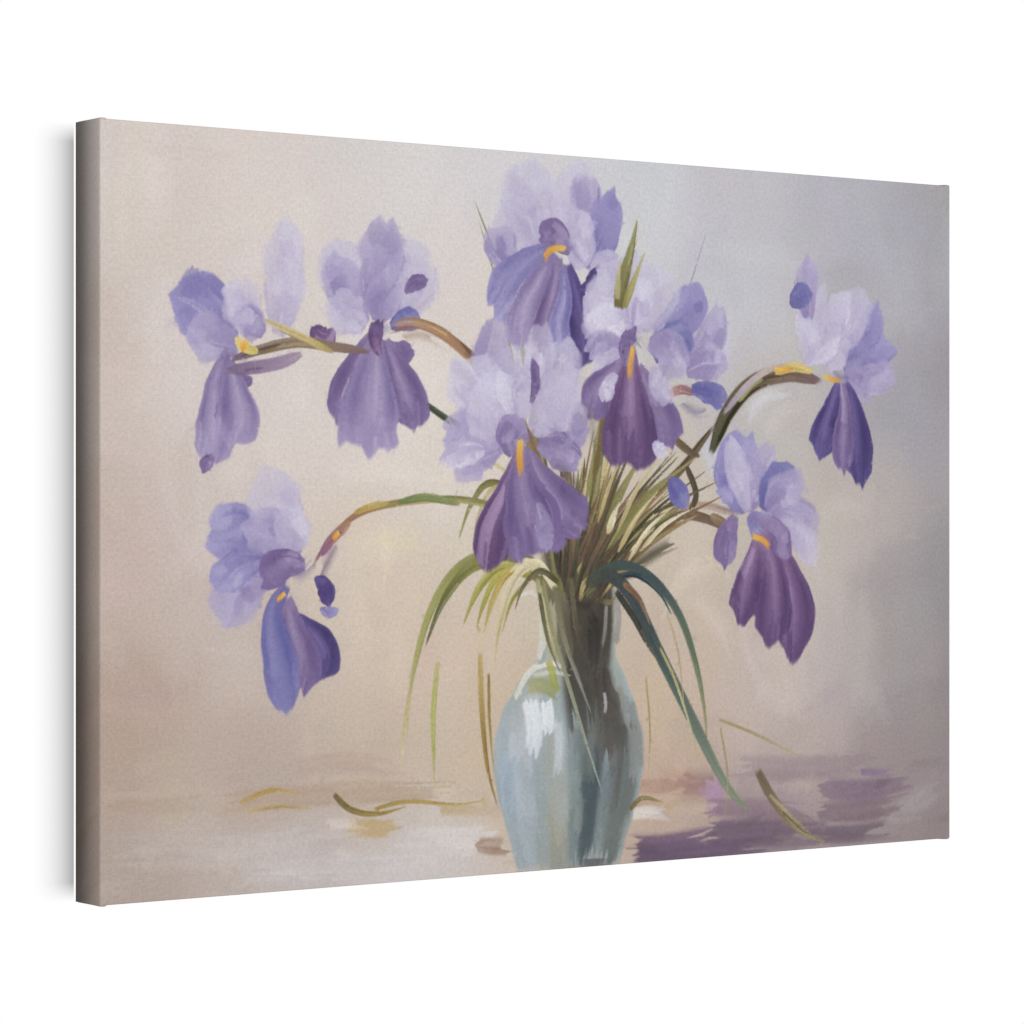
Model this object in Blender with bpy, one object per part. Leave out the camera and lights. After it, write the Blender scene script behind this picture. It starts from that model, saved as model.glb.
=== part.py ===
"""Wall picture: printed canvas wrapped over a pine stretcher frame and stapled at the back.

Metres. +X is to the right seen from the front, +Z is up and +Y points at the wall.
The origin is the middle notch of the sawtooth hanger, on the plane of the wall.
All pieces hang from one empty at the middle of the picture, and the four sides of
the frame share one drawing: the top side, turned about the picture's middle.
"""

import math

import bmesh
import bpy
from mathutils import Matrix, Vector

# Driving sizes
PICTURE_WIDTH = 0.9144
PICTURE_HEIGHT = 0.6096
PICTURE_DEPTH = 0.0381
GAP = 0.0003
CANVAS_THICKNESS = 0.0005
TURN_OVER = 0.028
BAR_WIDTH = 0.032
HANG_LINE_BELOW_TOP = 0.020

# Canvas
EDGE_RADIUS = 0.0012
ARC_STEPS = 3

# Stretcher bars: a narrow lip carries the canvas, and the rest falls away from it
EASED_EDGE = 0.0012
LIP_WIDTH = 0.005
LIP_RUN = 0.004
LIP_FALL = 0.003

# Corner joints: a tongue on each rail in a slot in each stile, and two wedges a corner
TONGUE_EDGE = 0.008
TONGUE_WIDTH = 0.016
TONGUE_ROOT = 0.030
TONGUE_FRONT = 0.012
TONGUE_THICKNESS = 0.008
KEY_THICKNESS = 0.0032
KEY_TIP_DEPTH = 0.020
KEY_STAND_OUT = 0.008
KEY_TIP_WIDTH = 0.007
KEY_HEAD_WIDTH = 0.012
KEY_SLOT_OVERCUT = 0.002
RAIL_KEY_FROM_FRONT = 0.0265
STILE_KEY_FROM_FRONT = 0.0075

# Cross brace
BRACE_WIDTH = 0.038
BRACE_DEPTH = 0.018
TENON_WIDTH = 0.020
TENON_DEPTH = 0.008
TENON_LENGTH = 0.011
MORTISE_SPARE = 0.001

# Staples
STAPLE_INSET = 0.016
STAPLE_CROWN = 0.0106
STAPLE_LEG = 0.008
STAPLE_WIRE = 0.0006
STAPLE_WIRE_WIDTH = 0.0012
STAPLE_SHOULDER = 0.0005
RAIL_STAPLE_PITCH = 0.080
RAIL_STAPLES = 11
STILE_STAPLE_PITCH = 0.085
STILE_STAPLES = 6

# Sawtooth hanger and its screws
HANGER_LENGTH = 0.090
HANGER_THICKNESS = 0.001
HANGER_ABOVE_LINE = 0.0115
HANGER_EAR = 0.017
HANGER_STEP = 0.003
HANGER_LIFT = 0.0018
TOOTH_DEPTH = 0.002
TOOTH_PITCH = 0.004
EAR_END_ANGLE = 10
EAR_STEPS = 6
SCREW_FROM_END = 0.0085
SCREW_HEAD_RADIUS = 0.0035
SCREW_HEAD_HEIGHT = 0.0018
SCREW_RIM = 0.0006
SCREW_SHANK_RADIUS = 0.0015
SCREW_LENGTH = 0.014
SCREW_POINT = 0.003
SCREW_SIDES = 16
CROSS_WIDTH = 0.0009
CROSS_SPAN = 0.0038
CROSS_DEPTH = 0.0009

# Wall pads
PAD_RADIUS = 0.007
PAD_THICKNESS = 0.004
PAD_ROUND = 0.0008
PAD_INSET = 0.013
PAD_SIDES = 32

# Planes and half sizes worked out from the above
CANVAS_BACK = -(PAD_THICKNESS + GAP)
CANVAS_FRONT = CANVAS_BACK - PICTURE_DEPTH
SKIN = CANVAS_THICKNESS + GAP
BAR_FRONT = CANVAS_FRONT + SKIN
BAR_BACK = CANVAS_BACK - SKIN
HALF_WIDTH = PICTURE_WIDTH / 2 - SKIN
HALF_HEIGHT = PICTURE_HEIGHT / 2 - SKIN
MIDDLE_HEIGHT = HANG_LINE_BELOW_TOP - PICTURE_HEIGHT / 2
MITRE_GAP = GAP / math.sqrt(2)

# Each side of the frame: its turn about the picture's middle, half its length along
# the bar, and how far its outer face lies from the middle
SIDES = {
    "top": (0.0, HALF_WIDTH, HALF_HEIGHT),
    "right": (math.pi / 2, HALF_HEIGHT, HALF_WIDTH),
    "bottom": (math.pi, HALF_WIDTH, HALF_HEIGHT),
    "left": (-math.pi / 2, HALF_HEIGHT, HALF_WIDTH),
}
RAILS = ("top", "bottom")


# ---------------------------------------------------------------- shared tools


def clear_scene():
    """Removes whatever objects the file already holds."""
    for item in list(bpy.data.objects):
        bpy.data.objects.remove(item, do_unlink=True)


def make_material(name, colour, roughness, metallic=0.0):
    """One Principled material of a plain colour."""
    material = bpy.data.materials.new(name)
    material.use_nodes = True
    shader = material.node_tree.nodes["Principled BSDF"]
    shader.inputs["Base Color"].default_value = (*colour, 1.0)
    shader.inputs["Roughness"].default_value = roughness
    shader.inputs["Metallic"].default_value = metallic
    return material


def arc(centre, radius, start, end, steps=ARC_STEPS):
    """Points on an arc, in degrees, both ends included."""
    points = []
    for step in range(steps + 1):
        angle = math.radians(start + (end - start) * step / steps)
        points.append((centre[0] + radius * math.cos(angle), centre[1] + radius * math.sin(angle)))
    return points


def finish_mesh(name, vertices, faces):
    """A mesh whose faces all point out."""
    mesh = bpy.data.meshes.new(name)
    mesh.from_pydata([tuple(vertex) for vertex in vertices], [], faces)
    work = bmesh.new()
    work.from_mesh(mesh)
    bmesh.ops.recalc_face_normals(work, faces=work.faces)
    work.to_mesh(mesh)
    work.free()
    return mesh


def loft_mesh(name, loops):
    """A skin over loops of equal length, with both ends capped."""
    count = len(loops[0])
    vertices = [point for loop in loops for point in loop]
    faces = []
    for low in range(0, len(vertices) - count, count):
        high = low + count
        for index in range(count):
            after = (index + 1) % count
            faces.append((low + index, low + after, high + after, high + index))
    faces.append(tuple(range(count)))
    faces.append(tuple(range(len(vertices) - count, len(vertices))))
    return finish_mesh(name, vertices, faces)


def prism_mesh(name, outline, low, high):
    """An outline drawn in X and Z, given its thickness along Y."""
    loops = [[(x, y, z) for x, z in outline] for y in (low, high)]
    return loft_mesh(name, loops)


def box_mesh(name, *boxes):
    """Boxes, each given by two opposite corners, as one mesh."""
    vertices = []
    faces = []
    for low, high in boxes:
        base = len(vertices)
        for z in (low[2], high[2]):
            corners = ((low[0], low[1]), (high[0], low[1]), (high[0], high[1]), (low[0], high[1]))
            vertices.extend((x, y, z) for x, y in corners)
        faces.append((base + 3, base + 2, base + 1, base))
        faces.append((base + 4, base + 5, base + 6, base + 7))
        for index in range(4):
            after = (index + 1) % 4
            faces.append((base + index, base + after, base + 4 + after, base + 4 + index))
    return finish_mesh(name, vertices, faces)


def turned_mesh(name, profile, sides):
    """A solid turned about Y from (radius, y) points that start and end on the axis."""
    vertices = [(0.0, profile[0][1], 0.0)]
    for radius, y in profile[1:-1]:
        for side in range(sides):
            angle = 2 * math.pi * side / sides
            vertices.append((radius * math.cos(angle), y, radius * math.sin(angle)))
    vertices.append((0.0, profile[-1][1], 0.0))
    last = len(vertices) - 1
    rings = len(profile) - 2
    faces = []
    for side in range(sides):
        after = (side + 1) % sides
        faces.append((0, 1 + side, 1 + after))
        faces.append((last, last - sides + after, last - sides + side))
        for ring in range(rings - 1):
            base = 1 + ring * sides
            faces.append((base + side, base + after, base + sides + after, base + sides + side))
    return finish_mesh(name, vertices, faces)


def add_object(name, mesh, material, middle, location=(0, 0, 0), turn=None):
    """An object that hangs from the empty at the picture's middle."""
    thing = bpy.data.objects.new(name, mesh)
    bpy.context.scene.collection.objects.link(thing)
    if material and not mesh.materials:
        mesh.materials.append(material)
    thing.parent = middle
    thing.location = location
    if turn is not None:
        thing.rotation_euler = turn.to_euler()
    return thing


def add_cutter(name, mesh, middle, location=(0, 0, 0), turn=None):
    """A guide that shapes other pieces and isn't one itself."""
    cutter = add_object(name, mesh, None, middle, location, turn)
    cutter.hide_render = True
    cutter.display_type = "WIRE"
    return cutter


def combine(target, operation, tool):
    """Cuts a tool out of the target, or joins it on."""
    modifier = target.modifiers.new(tool.name, "BOOLEAN")
    modifier.operation = operation
    modifier.solver = "EXACT"
    modifier.object = tool


def smooth_rounds(mesh, degrees=40):
    """Smooth shading with crisp edges where two faces meet sharply."""
    mesh.shade_smooth()
    mesh.set_sharp_from_angle(angle=math.radians(degrees))


def side_turn(side):
    """The turn that carries the top side's drawing to the given side."""
    return Matrix.Rotation(SIDES[side][0], 3, "Y")


def end_flip(end):
    """The turn that carries a flat piece from a bar's +X end to the given end."""
    return Matrix.Identity(3) if end > 0 else Matrix.Rotation(math.pi, 3, "Z")


# ---------------------------------------------------------------- stretcher bars


def bar_profile():
    """The bar's section as (inset from the outer face, y), lip first."""
    radius = EASED_EDGE
    fall = BAR_FRONT + LIP_FALL
    profile = arc((radius, BAR_FRONT + radius), radius, 180, 270)
    profile.append((LIP_WIDTH, BAR_FRONT))
    profile.append((LIP_WIDTH + LIP_RUN, fall))
    profile.extend(arc((BAR_WIDTH - radius, fall + radius), radius, 270, 360))
    profile.extend(arc((BAR_WIDTH - radius, BAR_BACK - radius), radius, 0, 90))
    profile.extend(arc((radius, BAR_BACK - radius), radius, 90, 180))
    return profile


def bar_mesh(name, half_length, outer):
    """A bar with mitred ends, in the place of the top side."""
    loops = []
    for end in (-1, 1):
        loop = []
        for inset, y in bar_profile():
            loop.append((end * (half_length - inset - MITRE_GAP), y, outer - inset))
        loops.append(loop)
    mesh = loft_mesh(name, loops)
    smooth_rounds(mesh)
    return mesh


def tongue_boxes(half_length, outer, grow, along_rail):
    """Both ends' tongues in a rail's own place, or their slots in a stile's."""
    near = TONGUE_EDGE - grow
    far = TONGUE_EDGE + TONGUE_WIDTH + grow
    reach = (near, TONGUE_ROOT) if along_rail else (near, far)
    across = (near, far) if along_rail else (near, TONGUE_ROOT)
    front = BAR_FRONT + TONGUE_FRONT - grow
    back = BAR_FRONT + TONGUE_FRONT + TONGUE_THICKNESS + grow
    boxes = []
    for end in (-1, 1):
        spots = sorted(end * (half_length - step) for step in reach)
        low = (spots[0], front, outer - across[1])
        high = (spots[1], back, outer - across[0])
        boxes.append((low, high))
    return boxes


def key_outline(grow, overcut=0.0):
    """A wedge about the frame's inner corner: X runs out along the bar, Z across it."""
    tip = KEY_TIP_DEPTH + grow
    head = -KEY_STAND_OUT - grow
    seat = -GAP + grow + overcut
    return [
        (seat, tip),
        (seat, head),
        (-GAP - KEY_HEAD_WIDTH - grow, head),
        (-GAP - KEY_TIP_WIDTH - grow, tip),
    ]


def key_place(side, end):
    """Where a bar's wedge sits: the frame's inner corner, at the slot's depth."""
    _, half_length, outer = SIDES[side]
    depth = RAIL_KEY_FROM_FRONT if side in RAILS else STILE_KEY_FROM_FRONT
    corner = (end * (half_length - BAR_WIDTH), BAR_FRONT + depth, outer - BAR_WIDTH)
    return side_turn(side) @ Vector(corner)


def staple_spots(side):
    """How far along the bar each of its staples sits, clear of the hanger."""
    pitch = RAIL_STAPLE_PITCH if side in RAILS else STILE_STAPLE_PITCH
    count = RAIL_STAPLES if side in RAILS else STILE_STAPLES
    spots = [(index - (count - 1) / 2) * pitch for index in range(count)]
    if side == "top":
        spots = [spot for spot in spots if abs(spot) > HANGER_LENGTH / 2]
    return spots


def leg_boxes(side):
    """Room for the legs of one side's staples, through the canvas and into the bar."""
    outer = SIDES[side][2]
    height = outer - STAPLE_INSET + SKIN
    reach = STAPLE_CROWN / 2
    low_y = CANVAS_BACK + GAP - STAPLE_LEG - GAP
    boxes = []
    for spot in staple_spots(side):
        for end in (-1, 1):
            leg = sorted((spot + end * (reach - STAPLE_WIRE - GAP), spot + end * (reach + GAP)))
            half = STAPLE_WIRE_WIDTH / 2 + GAP
            low = (leg[0], low_y, height - half)
            high = (leg[1], CANVAS_BACK + GAP, height + half)
            boxes.append((low, high))
    return boxes


def add_bars(middle, pine, leg_cutters):
    """Two rails and two stiles, jointed at the corners and slotted for the wedges."""
    bars = {}
    for side, (_, half_length, outer) in SIDES.items():
        turn = side_turn(side)
        name = side + ("_rail" if side in RAILS else "_stile")
        bar = add_object(name, bar_mesh(name, half_length, outer), pine, middle, turn=turn)
        if side in RAILS:
            boxes = tongue_boxes(half_length, outer, 0.0, True)
            tool = add_cutter(name + "_tongues", box_mesh("tongues", *boxes), middle, turn=turn)
            combine(bar, "UNION", tool)
        else:
            boxes = tongue_boxes(half_length, outer, GAP, False)
            tool = add_cutter(name + "_slots", box_mesh("slots", *boxes), middle, turn=turn)
            combine(bar, "DIFFERENCE", tool)
        combine(bar, "DIFFERENCE", leg_cutters[side])
        bars[side] = bar
    return bars


def add_keys(middle, beech, bars):
    """Eight beech wedges, one at each end of each bar, and the slots that hold them."""
    half = KEY_THICKNESS / 2
    key_mesh = prism_mesh("key", key_outline(0.0), -half, half)
    slot_outline = key_outline(GAP, KEY_SLOT_OVERCUT)
    slot_mesh = prism_mesh("key_slot", slot_outline, -half - GAP, half + GAP)
    for side, bar in bars.items():
        for end, place_name in ((-1, "start"), (1, "end")):
            place = key_place(side, end)
            turn = side_turn(side) @ end_flip(end)
            name = side + "_key_" + place_name
            slot = add_cutter(name + "_slot", slot_mesh, middle, place, turn)
            combine(bar, "DIFFERENCE", slot)
            add_object(name, key_mesh, beech, middle, place, turn)


def add_brace(middle, pine, bars):
    """An upright brace between the rails, with a stub tenon at each end."""
    half_width = BRACE_WIDTH / 2
    half_length = HALF_HEIGHT - BAR_WIDTH - GAP
    radius = EASED_EDGE
    front = BAR_BACK - BRACE_DEPTH
    section = arc((-half_width + radius, front + radius), radius, 180, 270)
    section.extend(arc((half_width - radius, front + radius), radius, 270, 360))
    section.extend(arc((half_width - radius, BAR_BACK - radius), radius, 0, 90))
    section.extend(arc((-half_width + radius, BAR_BACK - radius), radius, 90, 180))
    loops = [[(x, y, z) for x, y in section] for z in (-half_length, half_length)]
    mesh = loft_mesh("cross_brace", loops)
    smooth_rounds(mesh)
    brace = add_object("cross_brace", mesh, pine, middle)

    def tenon_box(grow, length):
        across = TENON_WIDTH / 2 + grow
        centre = BAR_BACK - BRACE_DEPTH / 2
        thick = TENON_DEPTH / 2 + grow
        tall = half_length + GAP + length
        return (-across, centre - thick, -tall), (across, centre + thick, tall)

    tenon = add_cutter("brace_tenons", box_mesh("tenons", tenon_box(0.0, TENON_LENGTH)), middle)
    combine(brace, "UNION", tenon)
    room = tenon_box(GAP, TENON_LENGTH + MORTISE_SPARE)
    mortise = add_cutter("brace_mortises", box_mesh("mortises", room), middle)
    for side in RAILS:
        combine(bars[side], "DIFFERENCE", mortise)


# ---------------------------------------------------------------- canvas


def canvas_loop(inset, y, radius):
    """A rectangle with rounded corners, inset from the picture's outline."""
    half_width = PICTURE_WIDTH / 2 - inset
    half_height = PICTURE_HEIGHT / 2 - inset
    loop = []
    quarters = ((1, 1, 0), (-1, 1, 90), (-1, -1, 180), (1, -1, 270))
    for side_x, side_z, start in quarters:
        centre = (side_x * (half_width - radius), side_z * (half_height - radius))
        loop.extend((x, y, z) for x, z in arc(centre, radius, start, start + 90))
    return loop


def canvas_section(offset):
    """The canvas's section as (inset, y), from the turned-over edge round to the front."""
    radius = EDGE_RADIUS
    bend = radius - offset
    section = [(TURN_OVER, CANVAS_BACK - offset)]
    section.extend(arc((radius, CANVAS_BACK - radius), bend, 90, 180))
    section.extend(arc((radius, CANVAS_FRONT + radius), bend, 180, 270))
    return section


def add_canvas(middle, cloth, leg_cutters, screw_cutter):
    """One cloth: front, four sides and the edge turned over and stapled at the back."""
    outer = [canvas_loop(inset, y, EDGE_RADIUS) for inset, y in canvas_section(0.0)]
    bend = EDGE_RADIUS - CANVAS_THICKNESS
    inner = [canvas_loop(inset, y, bend) for inset, y in canvas_section(CANVAS_THICKNESS)]
    mesh = loft_mesh("canvas", list(reversed(outer)) + inner)
    smooth_rounds(mesh)
    canvas = add_object("canvas", mesh, cloth, middle)
    for cutter in leg_cutters.values():
        combine(canvas, "DIFFERENCE", cutter)
    combine(canvas, "DIFFERENCE", screw_cutter)


# ---------------------------------------------------------------- fastenings


def add_leg_cutters(middle):
    """For each side, the holes that its staples make."""
    cutters = {}
    for side in SIDES:
        mesh = box_mesh("leg_holes", *leg_boxes(side))
        cutters[side] = add_cutter(side + "_leg_holes", mesh, middle, turn=side_turn(side))
    return cutters


def staple_mesh(steel):
    """A flat-wire staple: X along its crown, legs towards -Y, crown's underside at y 0."""
    reach = STAPLE_CROWN / 2
    inside = reach - STAPLE_WIRE
    top = STAPLE_WIRE
    shoulder = STAPLE_SHOULDER
    right = [(inside, 0.0), (inside, STAPLE_WIRE - STAPLE_LEG), (reach, -STAPLE_LEG)]
    right.extend([(reach, top - shoulder), (reach - shoulder, top)])
    outline = right + [(-x, y) for x, y in reversed(right)]
    half = STAPLE_WIRE_WIDTH / 2
    loops = [[(x, y, z) for x, y in outline] for z in (-half, half)]
    mesh = loft_mesh("staple", loops)
    mesh.materials.append(steel)
    return mesh


def add_staples(middle, steel):
    """Staples along every side, crowns lying along the bar."""
    mesh = staple_mesh(steel)
    for side, (_, _, outer) in SIDES.items():
        height = outer - STAPLE_INSET + SKIN
        for number, spot in enumerate(staple_spots(side), start=1):
            place = side_turn(side) @ Vector((spot, CANVAS_BACK + GAP, height))
            name = f"{side}_staple_{number:02d}"
            add_object(name, mesh, steel, middle, place, side_turn(side))


def hanger_columns():
    """The hanger's outline as (x, lowest z, highest z, y step) from left to right."""
    half = HANGER_LENGTH / 2
    top = HANGER_ABOVE_LINE
    tip = -TOOTH_DEPTH
    radius = (top - tip) / 2
    centre = (top + tip) / 2
    right = [(half - HANGER_EAR, tip, top, 0.0)]
    for x, reach in arc((half - radius, 0.0), radius, 90, EAR_END_ANGLE, EAR_STEPS):
        right.append((x, centre - reach, centre + reach, 0.0))
    half_tooth = TOOTH_PITCH / 2
    rows = round((half - HANGER_EAR - HANGER_STEP) / half_tooth)
    blade = []
    for index in range(-rows, rows + 1):
        low = tip if index % 2 else 0.0
        blade.append((index * half_tooth, low, top, HANGER_LIFT))
    left = [(-x, low, high, lift) for x, low, high, lift in reversed(right)]
    return left + blade + right


def add_hanger(middle, zinc):
    """A pressed steel plate: two ears on the rail, and a raised blade with teeth."""
    base = CANVAS_BACK + GAP
    loops = []
    for x, low, high, lift in hanger_columns():
        front = base + lift
        back = front + HANGER_THICKNESS
        loops.append([(x, front, low), (x, front, high), (x, back, high), (x, back, low)])
    mesh = loft_mesh("hanger", loops)
    return add_object("sawtooth_hanger", mesh, zinc, middle, (0, 0, -MIDDLE_HEIGHT))


def screw_spots():
    """The two screws' places, relative to the picture's middle."""
    height = (HANGER_ABOVE_LINE - TOOTH_DEPTH) / 2 - MIDDLE_HEIGHT
    reach = HANGER_LENGTH / 2 - SCREW_FROM_END
    return [Vector((end * reach, CANVAS_BACK, height)) for end in (-1, 1)]


def screw_profile(seat):
    """A pan-head wood screw as (radius, y), point first, head standing on the seat."""
    tip = seat - SCREW_LENGTH
    rim = seat + SCREW_RIM
    dome = SCREW_HEAD_HEIGHT - SCREW_RIM
    profile = [(0.0, tip), (SCREW_SHANK_RADIUS, tip + SCREW_POINT), (SCREW_SHANK_RADIUS, seat)]
    profile.append((SCREW_HEAD_RADIUS, seat))
    for across, up in arc((0.0, 0.0), 1.0, 0, 90)[:-1]:
        profile.append((SCREW_HEAD_RADIUS * across, rim + dome * up))
    profile.append((0.0, seat + SCREW_HEAD_HEIGHT))
    return profile


def add_screw_cutter(middle):
    """Clearance for both screws through the hanger and the canvas and into the rail."""
    low = CANVAS_BACK + HANGER_THICKNESS - SCREW_LENGTH
    radius = SCREW_SHANK_RADIUS + GAP
    profile = [(0.0, low), (radius, low), (radius, 0.0), (0.0, 0.0)]
    vertices = []
    faces = []
    for spot in screw_spots():
        part = turned_mesh("screw_room", profile, SCREW_SIDES)
        base = len(vertices)
        vertices.extend((v.co.x + spot.x, v.co.y, v.co.z + spot.z) for v in part.vertices)
        faces.extend(tuple(base + index for index in face.vertices) for face in part.polygons)
        bpy.data.meshes.remove(part)
    return add_cutter("screw_room", finish_mesh("screw_room", vertices, faces), middle)


def add_screws(middle, zinc):
    """Two screws with a cross recess in the head."""
    seat = GAP + HANGER_THICKNESS + GAP
    mesh = turned_mesh("screw", screw_profile(seat), SCREW_SIDES)
    smooth_rounds(mesh)
    mesh.materials.append(zinc)
    top = seat + SCREW_HEAD_HEIGHT
    span = CROSS_SPAN / 2
    slim = CROSS_WIDTH / 2
    floor = top - CROSS_DEPTH
    arms = [((-span, floor, -slim), (span, top + GAP, slim))]
    arms.append(((-slim, floor, -span), (slim, top + GAP, span)))
    for place_name, spot in zip(("left", "right"), screw_spots()):
        screw = add_object("hanger_screw_" + place_name, mesh, zinc, middle, spot)
        for number, arm in enumerate(arms):
            name = f"cross_{place_name}_{number}"
            combine(screw, "DIFFERENCE", add_cutter(name, box_mesh(name, arm), middle, spot))


def add_pads(middle, rubber):
    """Two round pads that hold the bottom corners off the wall."""
    radius = PAD_RADIUS
    profile = [(0.0, -PAD_THICKNESS), (radius, -PAD_THICKNESS)]
    profile.extend(arc((radius - PAD_ROUND, -PAD_ROUND), PAD_ROUND, 0, 90))
    profile.append((0.0, 0.0))
    mesh = turned_mesh("wall_pad", profile, PAD_SIDES)
    smooth_rounds(mesh)
    for place_name, end in (("left", -1), ("right", 1)):
        across = end * (PICTURE_WIDTH / 2 - PAD_INSET)
        place = (across, 0.0, PAD_INSET - PICTURE_HEIGHT / 2)
        add_object("wall_pad_" + place_name, mesh, rubber, middle, place)


def build():
    """Makes the whole picture."""
    clear_scene()
    middle = bpy.data.objects.new("picture_middle", None)
    bpy.context.scene.collection.objects.link(middle)
    middle.location = (0, 0, MIDDLE_HEIGHT)
    pine = make_material("pine", (0.72, 0.52, 0.32), 0.6)
    beech = make_material("beech", (0.62, 0.42, 0.27), 0.55)
    cloth = make_material("printed_canvas", (0.74, 0.67, 0.66), 0.85)
    steel = make_material("staple_steel", (0.62, 0.62, 0.60), 0.4, 1.0)
    zinc = make_material("zinc_plate", (0.66, 0.67, 0.68), 0.35, 1.0)
    rubber = make_material("clear_rubber", (0.55, 0.54, 0.52), 0.5)
    leg_cutters = add_leg_cutters(middle)
    bars = add_bars(middle, pine, leg_cutters)
    add_keys(middle, beech, bars)
    add_brace(middle, pine, bars)
    screw_cutter = add_screw_cutter(middle)
    combine(bars["top"], "DIFFERENCE", screw_cutter)
    add_canvas(middle, cloth, leg_cutters, screw_cutter)
    add_staples(middle, steel)
    hanger = add_hanger(middle, zinc)
    combine(hanger, "DIFFERENCE", screw_cutter)
    add_screws(middle, zinc)
    add_pads(middle, rubber)


build()
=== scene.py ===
import math

import bmesh
import bpy
import numpy as np
from bpy.props import FloatProperty, FloatVectorProperty, IntProperty, PointerProperty
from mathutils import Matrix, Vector
from mathutils.geometry import delaunay_2d_cdt


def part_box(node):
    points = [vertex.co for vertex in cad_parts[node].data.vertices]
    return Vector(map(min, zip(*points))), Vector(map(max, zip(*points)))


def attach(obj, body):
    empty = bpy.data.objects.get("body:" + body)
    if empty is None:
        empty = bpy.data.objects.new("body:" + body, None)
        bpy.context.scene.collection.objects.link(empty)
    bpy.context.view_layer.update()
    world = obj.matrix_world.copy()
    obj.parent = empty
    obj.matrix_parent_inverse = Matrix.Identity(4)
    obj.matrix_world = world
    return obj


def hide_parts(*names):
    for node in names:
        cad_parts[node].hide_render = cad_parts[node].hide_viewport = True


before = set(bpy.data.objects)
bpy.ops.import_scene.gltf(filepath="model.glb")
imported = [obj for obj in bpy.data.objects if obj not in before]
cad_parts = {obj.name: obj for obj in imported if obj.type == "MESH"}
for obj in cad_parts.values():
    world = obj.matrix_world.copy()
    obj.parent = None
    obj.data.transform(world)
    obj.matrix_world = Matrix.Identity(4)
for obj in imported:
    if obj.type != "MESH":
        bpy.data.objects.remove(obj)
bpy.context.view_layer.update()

bl_info = {
    "name": "Stretched canvas picture",
    "version": (1, 0, 0),
    "blender": (4, 5, 0),
    "location": "3D View > Sidebar > Picture",
    "description": "Finishes a stretched canvas wall picture: printed cloth, pine frame, staples and hanger",
    "category": "Object",
}

# Metres. X runs to the right seen from the front, Z up, and Y points at the wall.
CANVAS_LOW, CANVAS_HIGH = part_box("canvas")
SIDES = ("top", "bottom", "left", "right")
UNIT = (CANVAS_HIGH.z - CANVAS_LOW.z) / 100  # the still life is laid out in these


# ---------------------------------------------------------------- the brushes
# x runs from 0 to 150 and y from 0 to 100, from the picture's bottom left corner. The
# still life is brushed, stroke over stroke, into an array of sRGB colours.

WIDE, HIGH = 150.0, 100.0
CELLS = 10  # array cells to one unit


def rgb(code):
    """An sRGB hex colour as three shares."""
    return np.array([int(code[i:i + 2], 16) for i in (1, 3, 5)]) / 255.0


def palette(codes):
    """Several hex colours, written in one string, as rows of shares."""
    return np.array([rgb("#" + code) for code in codes.split()])


def ease(x):
    """A share from 0 to 1 that starts and stops gently."""
    x = np.clip(x, 0.0, 1.0)
    return x * x * (3.0 - 2.0 * x)


def wander(rng, x, turns):
    """Smooth chance values from -1 to 1 along x, which runs from 0 to 1."""
    knots = rng.uniform(-1.0, 1.0, turns + 2)
    place = np.clip(x, 0.0, 1.0) * turns
    knot = place.astype(int)
    share = ease(place - knot)
    return knots[knot] * (1.0 - share) + knots[knot + 1] * share


def mottle(rng, u, v, across_u, across_v):
    """Smooth chance values from -1 to 1 over a grid of u by v."""
    knots = rng.uniform(-1.0, 1.0, (across_u + 2, across_v + 2))
    a, b = np.clip(u, 0, 1) * across_u, np.clip(v, 0, 1) * across_v
    i, j = a.astype(int), b.astype(int)
    fa, fb = ease(a - i)[:, None], ease(b - j)[None, :]
    i, j = i[:, None], j[None, :]
    near = knots[i, j] * (1 - fb) + knots[i, j + 1] * fb
    far = knots[i + 1, j] * (1 - fb) + knots[i + 1, j + 1] * fb
    return near * (1 - fa) + far * fa


def blend(colours, x):
    """Colours spread evenly along 0 to 1, read at x."""
    place = np.clip(x, 0.0, 1.0) * (len(colours) - 1)
    step = np.minimum(place.astype(int), len(colours) - 2)
    share = (place - step)[..., None]
    return colours[step] * (1 - share) + colours[step + 1] * share


class Board:
    """The array that is painted on, row 0 at the picture's foot."""

    def __init__(self):
        self.rows, self.cols = int(HIGH * CELLS), int(WIDE * CELLS)
        self.paint = np.zeros((self.rows, self.cols, 3))

    def lay(self, x, y, colour, cover):
        """Mixes in colour where many close points fall, as strongly as cover says."""
        inside = (x >= 0) & (x < WIDE) & (y >= 0) & (y < HIGH)
        if not inside.any():
            return
        col, row = (x[inside] * CELLS).astype(int), (y[inside] * CELLS).astype(int)
        colour, cover = colour[inside], cover[inside]
        first_col, first_row = col.min(), row.min()
        wide, high = col.max() - first_col + 1, row.max() - first_row + 1
        cell = (row - first_row) * wide + (col - first_col)
        size = wide * high
        hits = np.bincount(cell, minlength=size)
        weight = np.maximum(cover, 1e-4)
        mass = np.maximum(np.bincount(cell, weight, size), 1e-6)
        share = np.bincount(cell, cover, size) / np.maximum(hits, 1) * np.minimum(hits / 2.0, 1.0)
        mixed = np.stack([np.bincount(cell, weight * colour[:, k], size) / mass for k in range(3)], axis=1)
        patch = self.paint[first_row:first_row + high, first_col:first_col + wide]
        patch += (mixed.reshape(high, wide, 3) - patch) * share.reshape(high, wide, 1)

    def at(self, x, y):
        """The colours at places given in units, blended between cells."""
        u = np.clip(np.asarray(x) * CELLS - 0.5, 0, self.cols - 1.001)
        v = np.clip(np.asarray(y) * CELLS - 0.5, 0, self.rows - 1.001)
        i, j = v.astype(int), u.astype(int)
        fv, fu = (v - i)[..., None], (u - j)[..., None]
        low = self.paint[i, j] * (1 - fu) + self.paint[i, j + 1] * fu
        high = self.paint[i + 1, j] * (1 - fu) + self.paint[i + 1, j + 1] * fu
        return low * (1 - fv) + high * fv


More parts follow.
